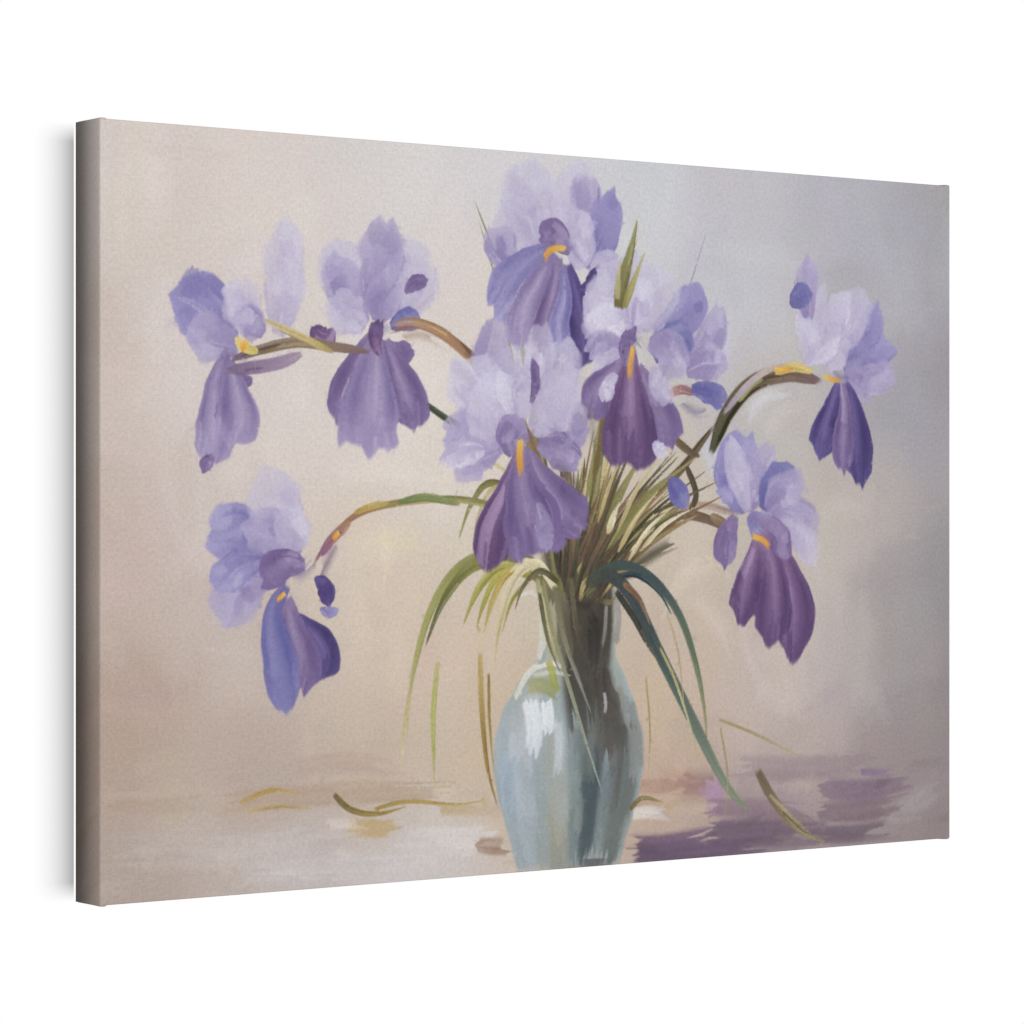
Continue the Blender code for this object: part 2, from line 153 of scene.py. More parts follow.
class Blade:
    """A petal, leaf or touch: a curved middle line with a width on either side."""

    SAMPLES = 96

    def __init__(self, line, left, right=None, frill=0.0, dome=0.0, seed=0):
        points = np.array(line, float)
        padded = np.vstack([2 * points[0] - points[1], points, 2 * points[-1] - points[-2]])
        u = np.linspace(0, len(points) - 1, self.SAMPLES * 3)
        i = np.minimum(u.astype(int), len(points) - 2)
        f = (u - i)[:, None]
        a, b, c, d = (padded[i + k] for k in range(4))
        dense = b + 0.5 * f * ((c - a) + f * ((2 * a - 5 * b + 4 * c - d) + f * (3 * b - a - 3 * c + d)))
        run = np.concatenate([[0], np.cumsum(np.linalg.norm(np.diff(dense, axis=0), axis=1))])
        self.length = run[-1]
        even = np.linspace(0, self.length, self.SAMPLES)
        middle = np.stack([np.interp(even, run, dense[:, k]) for k in (0, 1)], axis=1)
        heading = np.gradient(middle, axis=0)
        heading /= np.maximum(np.linalg.norm(heading, axis=1, keepdims=True), 1e-9)
        side = np.stack([-heading[:, 1], heading[:, 0]], axis=1)
        t = np.linspace(0, 1, self.SAMPLES)
        right = left if right is None else right
        left, right = (self.smooth(t, widths) for widths in (left, right))
        rng = np.random.default_rng(seed)
        if frill:
            left = left * (1 + frill * wander(rng, t, 5) * ease(t * 2))
            right = right * (1 + frill * wander(rng, t, 5) * ease(t * 2))
        self.frill, self.dome = frill, dome
        self.hem = rng.uniform(-1, 1, 7)
        self.table = np.concatenate([middle, side, left[:, None], right[:, None]], axis=1)
        self.width = float((left + right).max())
        edges = [middle + side * left[:, None], middle - side * right[:, None]]
        spans = [np.linalg.norm(np.diff(edge, axis=0), axis=1).max() for edge in edges]
        self.stretch = max(1.0, max(spans) / (self.length / (self.SAMPLES - 1)))

    @staticmethod
    def smooth(t, widths):
        """Widths given at even steps, read at t."""
        place = t * (len(widths) - 1)
        knot = np.minimum(place.astype(int), len(widths) - 2)
        widths = np.array(widths, float)
        share = ease(place - knot) * 0.5 + (place - knot) * 0.5
        return widths[knot] * (1 - share) + widths[knot + 1] * share

    def at(self, t, w):
        """Places for shares t along the blade and w across it, -1 right to 1 left."""
        if self.frill or self.dome:
            place = (np.clip(w, -1, 1) + 1) / 2 * (len(self.hem) - 1.001)
            knot = place.astype(int)
            share = ease(place - knot)
            wave = self.hem[knot] * (1 - share) + self.hem[knot + 1] * share
            t = t * (1 - self.dome * np.abs(w) ** 2.5 + self.frill * 0.5 * wave * ease(t * 1.6 - 0.4))
        place = np.clip(t, 0, 1.15) * (self.SAMPLES - 1)
        knot = np.minimum(place.astype(int), self.SAMPLES - 2)
        share = (place - knot)[..., None]
        row = self.table[knot] * (1 - share) + self.table[knot + 1] * share
        half = np.where(w > 0, row[..., 4], row[..., 5]) * w
        return row[..., 0] + row[..., 2] * half, row[..., 1] + row[..., 3] * half


def stroke(board, blade, rng, along=(0, 1), band=(-1, 1), colours=None, strength=1.0,
           bristle=0.04, ragged=0.15, soft=0.12, slant=0.0, lost=0.0):
    """One brush stroke along part of a blade, within a band of its width. Lost is how far its tip fades."""
    long = blade.length * (along[1] - along[0]) * min(blade.stretch, 3.0)
    wide = blade.width * (band[1] - band[0]) / 2
    u = np.linspace(0, 1, max(int(long * CELLS * 2), 4))
    v = np.linspace(0, 1, max(int(wide * CELLS * 2), 4))
    hairs = max(3, int(wide * 2.6))
    hair = mottle(rng, u, v, 2, hairs)
    t = along[0] + (along[1] - along[0]) * u[:, None] + 0 * v[None, :]
    w = np.clip(band[0] + (band[1] - band[0]) * v[None, :] + slant * (u[:, None] - 0.5), -1, 1)
    x, y = blade.at(t, w)
    colour = blend(colours, u)[:, None, :] + hair[..., None] * bristle
    reach = 1 - ragged * (0.5 + 0.5 * wander(rng, v, hairs))
    start = 0.4 * ragged * (0.5 + 0.5 * wander(rng, v, hairs))
    ends = ease((reach[None, :] - u[:, None]) / 0.05) * ease((u[:, None] - start[None, :]) / 0.04)
    edge = ease(np.minimum(v, 1 - v) / max(soft, 1e-3))
    cover = strength * ends * edge[None, :] * (1 - lost * u[:, None] ** 1.5)
    board.lay(x.ravel(), y.ravel(), colour.reshape(-1, 3), cover.ravel())


def dab(board, line, width, codes, seed, strength, bristle, ragged, soft):
    """A single touch of the brush."""
    blade = Blade(line, [share * width for share in (0.9, 1, 0.9)], seed=seed)
    stroke(board, blade, np.random.default_rng(seed + 3000), colours=palette(codes), strength=strength,
           bristle=bristle, ragged=ragged, soft=soft)


# ------------------------------------------------------------- the still life

# widths from root to rim, how far the rim rounds off, how wavy it is, planes and veins
PETALS = {
    "standard": ([0.25, 0.70, 0.95, 1.0, 0.96, 0.80], 0.28, 0.15, 7, 5),
    "side": ([0.30, 0.66, 0.92, 1.0, 0.94, 0.76], 0.24, 0.16, 6, 5),
    "fall": ([0.22, 0.42, 0.64, 0.86, 1.0, 0.97, 0.70], 0.18, 0.10, 2, 26),
    "skirt": ([0.12, 0.28, 0.48, 0.68, 0.86, 0.98, 1.0, 0.92], 0.10, 0.12, 2, 44),
    "bud": ([0.20, 0.75, 1.0, 0.80, 0.20], 0.10, 0.10, 3, 4),
}

# root, body and rim, then the pale and the deep colour that strokes lean to
TONES = {
    "pale": "B3A8C8 C6BFD7 D2CDE1 EAE7F1 9C90B8",
    "haze": "B6ACC8 BFB6D0 C8C3D8 DDD9E8 9F94BC",
    "lilac": "978AB2 A59ABF B2A9CB CFC9DF 7C6FA2",
    "blue": "7F78A8 8F88B8 9F98C4 C2BDDB 605A98",
    "azure": "67639A 716FA6 817EB0 A9A5CB 4C4B92",
    "mauve": "8576A0 9385AD A295BB CFC7DE 5E4F82",
    "violet": "8A779F 776491 7E6B99 C2B4D0 4D3C6B",
    "plum": "876A92 6C527D 604872 BEA6C6 3D2A50",
    "night": "60548A 4B3F75 564A80 8E82B4 30264F",
}


def petal(board, kind, tone, width, line, seed, fade=1.0):
    """A petal laid from its root to its rim: its flesh, then planes of light and shade, then veins."""
    widths, dome, frill, planes, veins = PETALS[kind]
    blade = Blade(line, [share * width for share in widths], frill=frill, dome=dome, seed=seed)
    rng = np.random.default_rng(seed + 1000)
    colours = palette(TONES[tone])
    flesh, pale, deep = colours[:3], colours[3], colours[4]
    hanging = kind in ("fall", "skirt")
    misty = tone in ("haze", "lilac", "pale") and not hanging
    stroke(board, blade, rng, colours=flesh, bristle=0.015, ragged=0.02, soft=0.11 if misty else 0.045,
           strength=fade, lost=0.3 if misty else 0.0)
    tilt = rng.choice([-1, 1])  # the side that the light falls on
    for _ in range(planes):
        centre, half = rng.uniform(-0.75, 0.75), rng.uniform(0.22, 0.5)
        start = rng.choice([0.0, rng.uniform(0.1, 0.6)])
        stop = min(start + rng.uniform(0.35, 0.8), 1.0)
        lean = np.clip(0.55 * tilt * centre + rng.normal(0.05, 0.35), -0.9, 0.9)
        toward = pale if lean > 0 else deep
        local = blend(flesh, np.array([start, stop]))
        local = local + (toward - local) * abs(lean) * np.array([[0.75], [0.95]])
        band = (max(centre - half, -1), min(centre + half, 1))
        stroke(board, blade, rng, (start, stop), band, local, fade * rng.uniform(0.5, 0.85), 0.012, 0.05,
               rng.choice([0.05, 0.3]), rng.uniform(-0.5, 0.5), 0.3)
    if hanging:
        folds(board, blade, rng, flesh, pale, deep, fade, veins)
    else:
        facets(board, blade, rng, pale, deep, fade, 5 if kind != "bud" else 1)
        for _ in range(veins):
            centre, half = rng.uniform(-0.95, 0.95), rng.uniform(0.03, 0.12)
            start = rng.choice([0.0, rng.uniform(0.05, 0.5)])
            stop = min(start + rng.uniform(0.35, 0.95), 1.0)
            lean = np.clip(rng.normal(0.1, 0.45), -0.9, 0.9)
            toward = pale if lean > 0 else deep
            local = blend(flesh, np.array([start, (start + stop) / 2, stop]))
            local = local + (toward - local) * abs(lean) * np.array([[0.9], [0.8], [0.35]])
            stroke(board, blade, rng, (start, stop), (max(centre - half, -1), min(centre + half, 1)), local,
                   fade * rng.uniform(0.4, 0.85), 0.02, 0.4, 0.35, rng.uniform(-0.08, 0.08))
    for end in (-1, 1):
        start = rng.uniform(0.3, 0.55)
        light = pale if end == tilt else deep
        band = (0.88, 1.0) if end > 0 else (-1.0, -0.88)
        stroke(board, blade, rng, (start, start + rng.uniform(0.25, 0.45)), band, np.array([light, light]),
               0.4 * fade, 0.01, 0.4, 0.4)


def folds(board, blade, rng, flesh, pale, deep, fade, veins):
    """The hanging petals: a pale ridge, dark hollows beside it, and fine lines that fan out."""
    ridge = rng.uniform(-0.25, 0.25)
    for low, high in ((-1, ridge - 0.25), (ridge + 0.25, 1)):
        stroke(board, blade, rng, (0.12, 1.0), (low, high), np.array([flesh[1], deep, flesh[2]]), 0.55 * fade,
               0.02, 0.12, 0.7)
    crest = flesh[1] + (pale - flesh[1]) * np.array([[0.5], [0.85], [0.7], [0.3]])
    stroke(board, blade, rng, (0.05, 0.95), (ridge - 0.5, ridge + 0.5), crest, 0.85 * fade, 0.04, 0.3, 0.9)
    for _ in range(veins):
        centre = rng.uniform(-0.97, 0.97)
        half = rng.uniform(0.012, 0.055)
        start = rng.choice([0.0, rng.uniform(0.05, 0.6)])
        stop = min(start + rng.uniform(0.3, 0.95), 1.0)
        lean = np.clip(rng.normal(0.3 - 0.7 * abs(centre - ridge), 0.4), -0.9, 0.9)
        toward = pale if lean > 0 else deep
        x, y = blade.at(np.linspace(start, stop, 4), np.full(4, centre))
        local = board.at(x, y)
        local = local + (toward - local) * abs(lean) * np.array([[0.55], [0.6], [0.5], [0.3]])
        stroke(board, blade, rng, (start, stop), (max(centre - half, -1), min(centre + half, 1)), local,
               fade * rng.uniform(0.4, 0.8), 0.02, 0.5, 0.7, rng.uniform(-0.06, 0.06), 0.4)
    for _ in range(5):
        centre, half = rng.uniform(-0.85, 0.85), rng.uniform(0.05, 0.16)
        light = flesh[2] + ((pale if rng.random() < 0.6 else deep) - flesh[2]) * rng.uniform(0.3, 0.6)
        stroke(board, blade, rng, (rng.uniform(0.6, 0.85), 1.0), (centre - half, centre + half),
               np.array([light, light]), 0.5 * fade, 0.02, 0.3, 0.5)


def facets(board, blade, rng, pale, deep, fade, count):
    """Flat touches of the knife across a petal, each a little lighter or darker than what lies under it."""
    for _ in range(count):
        x, y = blade.at(np.array([rng.uniform(0.2, 0.85)]), np.array([rng.uniform(-0.7, 0.7)]))
        x, y = x[0], y[0]
        lean = rng.normal(0.05, 0.4)
        under = board.at(x, y)
        tint = under + ((pale if lean > 0 else deep) - under) * min(abs(lean), 0.8)
        angle, reach = rng.uniform(0, math.pi), blade.width * rng.uniform(0.12, 0.26)
        step = np.array([math.cos(angle), math.sin(angle)]) * reach
        touch = Blade([(x - step[0], y - step[1]), (x, y), (x + step[0], y + step[1])],
                      [reach * w for w in (0.5, 0.8, rng.uniform(0.3, 0.8))])
        stroke(board, touch, rng, colours=np.array([tint, tint]), strength=0.62 * fade, bristle=0.015,
               ragged=0.2, soft=rng.choice([0.06, 0.4]), lost=rng.choice([0.0, 0.8]))


def leaf(board, line, width, codes, seed, profile, strands=5, bristle=0.03):
    """A blade of leaf or a stem, in a few long strands of changing green."""
    blade = Blade(line, [share * width for share in profile], seed=seed)
    rng = np.random.default_rng(seed + 2000)
    colours = palette(codes)
    stroke(board, blade, rng, colours=colours, bristle=bristle, ragged=0.03, soft=0.12)
    for _ in range(strands):
        centre, half = rng.uniform(-0.8, 0.8), rng.uniform(0.15, 0.4)
        start = rng.uniform(0, 0.6)
        stop = min(start + rng.uniform(0.25, 0.8), 1)
        local = np.clip(blend(colours, np.array([start, stop])) + rng.normal(0, 0.075), 0, 1)
        stroke(board, blade, rng, (start, stop), (max(centre - half, -1), min(centre + half, 1)), local,
               0.75, bristle, 0.35, 0.25)
    return blade


GROUND = [  # x, y and colour of the wall's soft patches
    (0, 100, "DACFC9"), (0, 70, "CFC1B8"), (0, 45, "C9B7AE"), (0, 22, "B7A396"), (0, 0, "B4A49B"),
    (12, 72, "DACFCC"), (10, 88, "D8CDC5"), (25, 98, "DCD2CD"), (28, 64, "DDD3CE"), (24, 33, "C7B8B0"),
    (20, 52, "D2C6C0"), (25, 15, "BBAA9F"), (30, 2, "C2B8B4"), (50, 97, "DBD6D5"), (48, 66, "E2D9D4"),
    (42, 40, "DACBBB"), (52, 30, "D2C1B0"), (48, 16, "C8B7A6"), (50, 2, "CFC6C4"), (65, 93, "D6D3D6"),
    (60, 80, "DDD3CD"), (56, 55, "DCD2C8"), (70, 45, "D0C4B2"), (88, 93, "CFCFD4"), (92, 48, "CDC1B2"),
    (66, 20, "CDBBA5"), (95, 30, "C8B7A8"), (95, 14, "BFA898"), (92, 22, "CDB9A4"), (108, 97, "C4C2C8"),
    (106, 80, "C6C5CC"), (112, 66, "C3BDBB"), (110, 22, "C6B7AF"), (122, 45, "C8BDB6"), (118, 30, "C9BDB7"),
    (130, 30, "B9AFAD"), (115, 15, "B8A8A3"), (112, 2, "907F88"), (128, 96, "B8B7BE"), (136, 82, "B4B1B8"),
    (140, 92, "ADABB3"), (141, 66, "A5A2AA"), (132, 50, "BFB5B1"), (139, 40, "A39D9F"), (140, 28, "A19B9C"),
    (140, 12, "9A8D8F"), (150, 100, "A8A4A8"), (150, 70, "9D999E"), (150, 40, "959194"),
    (150, 20, "918889"), (150, 0, "948688"),
]


def ground(board):
    """Soft beiges and greys that run into each other, with the brush's marks left in."""
    step = 10
    rows, cols = board.rows // step, board.cols // step
    y, x = np.mgrid[0:rows, 0:cols]
    x, y = (x + 0.5) * step / CELLS, (y + 0.5) * step / CELLS
    total, mass = np.zeros((rows, cols, 3)), np.zeros((rows, cols, 1))
    for px, py, code in GROUND:
        weight = 1.0 / ((x - px) ** 2 + (y - py) ** 2 + 40.0) ** 2
        total += weight[..., None] * rgb("#" + code)
        mass += weight[..., None]
    small = total / mass
    u = np.clip((np.arange(board.rows) + 0.5) / step - 0.5, 0, rows - 1.001)
    v = np.clip((np.arange(board.cols) + 0.5) / step - 0.5, 0, cols - 1.001)
    i, j = u.astype(int), v.astype(int)
    fi, fj = (u - i)[:, None, None], (v - j)[None, :, None]
    near = small[i][:, j] * (1 - fj) + small[i][:, j + 1] * fj
    far = small[i + 1][:, j] * (1 - fj) + small[i + 1][:, j + 1] * fj
    board.paint = near * (1 - fi) + far * fi
    rng = np.random.default_rng(5)
    for number in range(520):
        x, y = rng.uniform(-2, 152), rng.uniform(6, 102)
        lean = rng.normal(0, 0.3)
        reach, width = rng.uniform(3, 11), rng.uniform(1.2, 4.5)
        tint = board.at(x, y) + rng.normal(0, 0.013) + rng.normal(0, 0.006, 3)
        dx, dy = reach * math.sin(lean), reach * math.cos(lean)
        if rng.random() < 0.35:
            dx, dy = dy, dx * 0.4
        line = [(x - dx, y - dy), (x + rng.normal(0, 0.6), y), (x + dx, y + dy)]
        blade = Blade(line, [width * 0.8, width, width * 0.8], seed=number)
        stroke(board, blade, rng, colours=np.array([tint, tint]), strength=rng.uniform(0.25, 0.6),
               bristle=0.010, ragged=0.3, soft=0.45)


WASHES = [  # line, width, colours, strength: thin veils of paint that the flowers stand on
    ([(34, 55), (45, 55.4), (58, 54)], 2.6, "DDD3CD E6DDD6 DFD6CB", 0.6),
    ([(30, 63), (31, 68), (34, 70)], 3, "E0D7D2 E2DAD5 DED5CF", 0.5),
    ([(38, 45), (46, 46), (54, 45)], 3.6, "DFD2BF E3D7BE D8CBB8", 0.6),
    ([(44, 49), (44.4, 44), (43.6, 38)], 1.2, "E4D8B4 E6DCC0 DCCFBC", 0.5),
    ([(80, 50), (86, 54), (92, 60)], 3, "C9BBA8 D2C4B8 CDBFBA", 0.6),
    ([(100, 62), (102, 58), (104, 54)], 2.8, "C3C3CE CDCDD8 C6C6D2", 0.8),
    ([(108, 63), (112, 66.6), (118, 67.4)], 1.8, "CFCED4 D6D5DA CDC8C8", 0.8),
    ([(112, 61), (116, 65), (121, 66)], 2.2, "C9C4C4 CCC5C2 C4BCB8", 0.7),
    ([(122, 50), (128, 50.6), (134, 49)], 3.4, "C8BEB8 CCC2BB BEB5B2", 0.5),
    ([(76, 64), (78, 68), (79, 72)], 1.8, "C9C0B8 D0C7C0 CEC4C0", 0.7),
    ([(110, 25), (118, 22), (124, 24)], 4, "C8BEBA CCC1BA BFB5B0", 0.5),
    ([(92, 34), (97, 41), (103, 42.6), (107, 40)], 2.4, "D3C4B4 D9CCBE D2C5BA", 0.7),
    ([(98, 38), (103, 34), (107, 28)], 2.6, "D2C4B8 D4C7BC CDC0B6", 0.6),
    ([(68, 88), (69, 95), (76, 98)], 5, "CFCDDA D3D1DE CFCDDA", 0.6),
    ([(17, 80), (25, 84), (31, 86)], 3.4, "D9D2D6 DDD6D6 DAD2D0", 0.5),
    ([(17, 34), (20, 40), (17, 50)], 3.6, "C9BEC4 CCC2CC C8BCC6", 0.5),
    ([(134, 80), (141, 80), (147, 76)], 2.6, "B4B0BA B8B4BE A9A5AD", 0.4),
    ([(66, 45), (60, 30), (58, 14)], 3, "D2C4AA CFBEA4 C8B69E", 0.5),
    ([(90, 34), (92, 24), (91, 14)], 2.4, "CDBBA2 CCB9A0 C4AF98", 0.6),
]

TABLE = [  # line, width, colours, strength: the broad touches of the table top
    ([(0, 7), (22, 6), (45, 7)], 3.2, "BCB1AC C6BCB8 C8BFBC", 0.6),
    ([(20, 3), (45, 2), (66, 3)], 3, "C4BBB8 CFC7C6 D2CBCB", 0.8),
    ([(44, 6), (58, 5.5), (66, 6)], 1.8, "CBC2BF D8D1CF D6CFCD", 0.8),
    ([(52, 4.6), (60, 3.8), (65, 4)], 1.2, "D6CFCC D9D2CF D2CBC8", 0.7),
    ([(59, 4.4), (62.6, 3.8), (66, 3.6)], 1.5, "AC9384 9F8575 A18A7C", 0.9),
    ([(37, 8.2), (43, 7.4), (48, 7.6)], 1.5, "C4B08C BA9F70 C0AC8C", 0.8),
    ([(16, 12), (34, 12.4), (58, 12)], 2, "BAA28A B09883 B49E88", 0.6),
    ([(52, 9.5), (60, 9), (63, 9.3)], 1, "B7A27C C2AE8C C8B79A", 0.7),
    ([(28, 16), (38, 16.5), (48, 15)], 1.8, "BDA79C B59D92 BEAC9F", 0.5),
    ([(0, 12.6), (10, 12.2), (20, 13)], 1.4, "B29C8A B3A090 B5A493", 0.5),
    ([(87, 9), (93, 8), (99, 9)], 1.4, "B59A84 C2A98F B59F90", 0.8),
    ([(91, 12), (96, 11), (101, 12)], 2.4, "C0A491 BD9E8D B79C92", 0.6),
    ([(86, 2.6), (94, 2.2), (104, 3.2)], 2.2, "6A5468 745F76 7C6680", 0.9),
    ([(84, 0.9), (98, 1), (114, 1.4)], 1.8, "5E4E64 6A586E 726072", 0.9),
    ([(96, 11), (101, 10.6), (106, 11)], 2.6, "A3807A 987A78 967A7C", 0.75),
    ([(102, 12), (102.6, 9), (102.2, 5)], 2, "B79AB0 AC8DAC 94799E", 0.85),
    ([(100, 7.4), (112, 6.4), (124, 5)], 1.8, "8F7886 88727F 8C7880", 0.7),
    ([(100, 3.4), (114, 2.8), (126, 2)], 2.6, "6A586E 6B596A 74636D", 0.75),
    ([(104, 13), (122, 12), (140, 13)], 2.4, "9C8B8E 92818A 96868C", 0.6),
    ([(122, 9), (133, 8), (143, 9)], 2.4, "857080 7A667A 8B7882", 0.7),
    ([(122, 5.5), (131, 5), (141, 5.6)], 2, "7E6B76 837078 8A7A7E", 0.75),
    ([(118, 2.4), (130, 1.8), (139, 2.4)], 1.8, "6E5C6C 6A5A6A 78686F", 0.75),
    ([(131, 11), (137, 10.6), (140, 11)], 0.7, "7E688A 8B7690 8B7690", 0.7),
    ([(139, 4), (145, 7), (150, 9)], 2.6, "A3979A A59B9F 9B9195", 0.7),
    ([(86, 6.8), (89.6, 7.2), (94.6, 6.4)], 1.2, "D4CCC6 DCD5CF BFB2B4", 0.9),
    ([(88, 11), (92, 10.6), (97, 11)], 1.6, "B3927E AE8E7E A3877C", 0.7),
]


def table_top(board):
    """The broad touches of the table, then small level ones in the colours that lie there."""
    rng = np.random.default_rng(9)
    for number, (line, width, codes, strength) in enumerate(TABLE):
        dab(board, line, width, codes, 100 + number, strength, 0.03, 0.35, 0.25)
    for number in range(90):
        x, y = rng.uniform(0, 150), rng.uniform(0.5, 14)
        tint = board.at(x, y) + rng.normal(0, 0.03)
        reach = rng.uniform(1.5, 7)
        line = [(x - reach, y + rng.normal(0, 0.2)), (x, y), (x + reach, y + rng.normal(0, 0.3))]
        blade = Blade(line, [rng.uniform(0.2, 1.2)] * 2, seed=number)
        stroke(board, blade, rng, colours=np.array([tint, tint]), strength=0.55, bristle=0.02, ragged=0.5,
               soft=0.3)


VASE_LEFT = [6.2, 5.9, 5.8, 6.6, 10.4, 13.0, 14.2, 14.4, 13.6, 12.2, 10.8, 9.6]
VASE_RIGHT = [8.0, 7.6, 7.4, 7.6, 9.8, 11.6, 12.8, 13.0, 12.3, 11.0, 9.6, 8.6]
VASE_PARTS = [  # along from the mouth, band from the left wall (-1) to the right (1), colours, strength
    ((0.28, 1), (-1, -0.55), "D4D6DA C8D0DA BAC8D6 B4C2D0 BEC6CA", 0.85),
    ((0.36, 0.92), (-0.86, -0.40), "E0E2E6 D0D8E0 C4D0DA BECAD4 C4CACC", 0.75),
    ((0.50, 1), (-0.42, -0.02), "C4C4BC C6C0AA C2BAA2 B8B4A4", 0.75),
    ((0.66, 0.97), (-0.30, -0.08), "C9C0A4 CCC2A2 C4BAA0", 0.6),
    ((0.34, 1), (-0.10, 0.56), "6E6F68 66716F 5E6D70 5C6B70 66716F", 0.9),
    ((0.48, 1), (0.44, 1), "747A78 737D7C 76817F 757E7C 70787A", 0.9),
    ((0.56, 0.96), (0.12, 0.44), "52606A 505F66 5E6A70", 0.75),
    ((0.30, 0.62), (0.20, 0.94), "5A524C 544C46 5E5A56 6A6B68", 0.9),
    ((0.42, 0.66), (0.80, 1), "8E887E 8C887F 7F807A", 0.7),
    ((0.27, 0.40), (-0.90, -0.40), "D8D4C8 CED0CC C8CCCE", 0.7),
    ((0.90, 1), (-0.6, 0.2), "A2A8A4 A4A69C 8D9795", 0.6),
    ((0.955, 1), (0, 0.85), "5C6068 565A62 60646A", 0.7),
]
VASE_TOUCHES = [  # the neck, what shows through it, and the lights on the glaze
    ([(79, 42), (79.2, 35), (78.8, 26), (79.8, 17)], 5.2, "443E36 3F3A34 48433D 5E605C", 0.92),
    ([(81.8, 41), (81.6, 34), (80.6, 26)], 2.4, "4C4640 433E38 57524C", 0.85),
    ([(72.4, 42), (74, 35), (75.4, 27)], 2.3, "6E6850 5C5644 6E6A5C", 0.85),
    ([(70.2, 41), (71.2, 36), (72, 31)], 0.8, "8A845E 7A7658 98967C", 0.7),
    ([(80, 36), (80.2, 31), (79.8, 27)], 1.2, "2F2C2A 33302D 413D39", 0.85),
    ([(83.8, 39.6), (84.6, 35), (83.8, 30)], 0.7, "8D8C88 9A9A98 86847F", 0.8),
    ([(82.4, 37), (82.2, 33.4), (81.6, 30.6)], 0.4, "AAA8A4 9E9C98 86827C", 0.7),
    ([(81, 37.6), (83, 37.2), (84.4, 37.8)], 0.5, "6E6248 85765A 7A6E54", 0.8),
    ([(70.6, 39), (71.2, 34), (70.6, 29)], 0.9, "CBC6B4 D6D3C4 D5D5CE", 0.85),
    ([(72.6, 38), (72.8, 33), (72.2, 28)], 1, "B9B39C AFAB90 C0BFA8", 0.8),
    ([(66, 24), (68.4, 27.4), (71.4, 29.4)], 0.6, "D9D6C6 E2E0D6 DAD6C8", 0.85),
    ([(69.6, 28.2), (73, 28.8), (76, 27.6)], 0.4, "E0DED4 E8E6DF D2CFC2", 0.9),
    ([(69, 27.2), (73, 27.6), (76.4, 26.8)], 0.35, "C9CAB4 D6D6C6 C4C3B4", 0.8),
    ([(67.8, 25.6), (71, 25.8), (74.8, 24.2)], 1.4, "A9A97A 9C9D64 8C8E5C", 0.7),
    ([(72, 29.4), (72.8, 27.2), (73.4, 24.4)], 0.8, "B3B060 A6A452 9A9A58", 0.8),
    ([(68.6, 24.4), (69.6, 20), (69, 15)], 1.8, "E4E6EA E0E4EA C8D0D8", 0.9),
    ([(71.6, 24), (72, 20.8), (71.4, 18)], 1.4, "EEF0F3 E6EAEF D6DCE2", 0.9),
    ([(73.6, 21.6), (74, 17), (73.4, 12)], 1, "D0D5DA CCD2D8 C2C8CC", 0.7),
    ([(65.4, 17), (64.8, 12), (65.8, 7)], 1.6, "A6B6C8 A4B4C4 A8B4BE", 0.6),
    ([(82, 24.8), (82.3, 22.6), (81.9, 20.8)], 0.35, "B9B6BC C6C4CA 9C9AA0", 0.8),
    ([(84.6, 25.6), (85.4, 23.4), (85.2, 21)], 0.5, "8C857E 969089 87827C", 0.7),
    ([(75.2, 41.8), (77.5, 42.2), (80, 41.6)], 0.35, "C9C4C4 BBB6B6 A39F9C", 0.8),
    ([(66.6, 38.2), (69, 38.8), (71, 37.8)], 0.35, "D9D4CC DFDBD3 CFC9BE", 0.8),
    ([(76.8, 14), (77.4, 9), (77, 3)], 1, "8E9A98 96A09C A0A49A", 0.5),
]


def vase(board):
    """A glazed jar: blue-white where the light falls, teal in the shade, stems in its neck."""
    rng = np.random.default_rng(21)
    body = Blade([(76.6, 41), (76.6, 20), (76.2, -0.6)], VASE_RIGHT, VASE_LEFT, seed=3)
    glaze = palette("C6C3B4 B9BBAE AEBBBC B2BEC4 A6B3B8 A4AFAD A9B1B1") * 0.92
    stroke(board, body, rng, colours=glaze, bristle=0.02, ragged=0.0, soft=0.02)
    for along, band, codes, strength in VASE_PARTS:
        stroke(board, body, rng, along, band, palette(codes) * 0.87, strength, 0.02, 0.12, 0.4)
    for _ in range(90):
        start, centre = rng.uniform(0.25, 0.9), rng.uniform(-0.95, 0.9)
        x, y = body.at(np.array([start]), np.array([centre]))
        tint = board.at(x, y)[0] + rng.normal(0, 0.022)
        half = rng.uniform(0.04, 0.14)
        stroke(board, body, rng, (start, min(start + rng.uniform(0.08, 0.3), 1)),
               (max(centre - half, -1), min(centre + half, 1)), np.array([tint, tint]), 0.6, 0.02, 0.3, 0.25)
    for number, (line, width, codes, strength) in enumerate(VASE_TOUCHES):
        dab(board, line, width, codes, 200 + number, strength, 0.035, 0.25, 0.2)


OLIVE = "6F6C48 7F7B4E 8F8A5C 9C9468"
MOSS = "55573F 64643F 75714A 85805A"
BRONZE = "6B5A3E 7E6A4A 94805A A8926C"
STRAW = "A89868 BBAC80 C6B890 CCC09E"
CREAM = "C2B48E D2C7A6 DAD0B4 D6CCB4"
SHADE = "3E3A32 4A4436 5C543E 6E654A"
UMBER = "52453A 655442 7A634E 86705A"
THIN = (0.7, 1.0, 0.9, 0.6, 0.3, 0.05)
EVEN = (0.35, 0.9, 1, 1, 1, 0.85, 0.3)
LONG = (0.8, 1.0, 1.0, 0.9, 0.7, 0.35, 0.05)

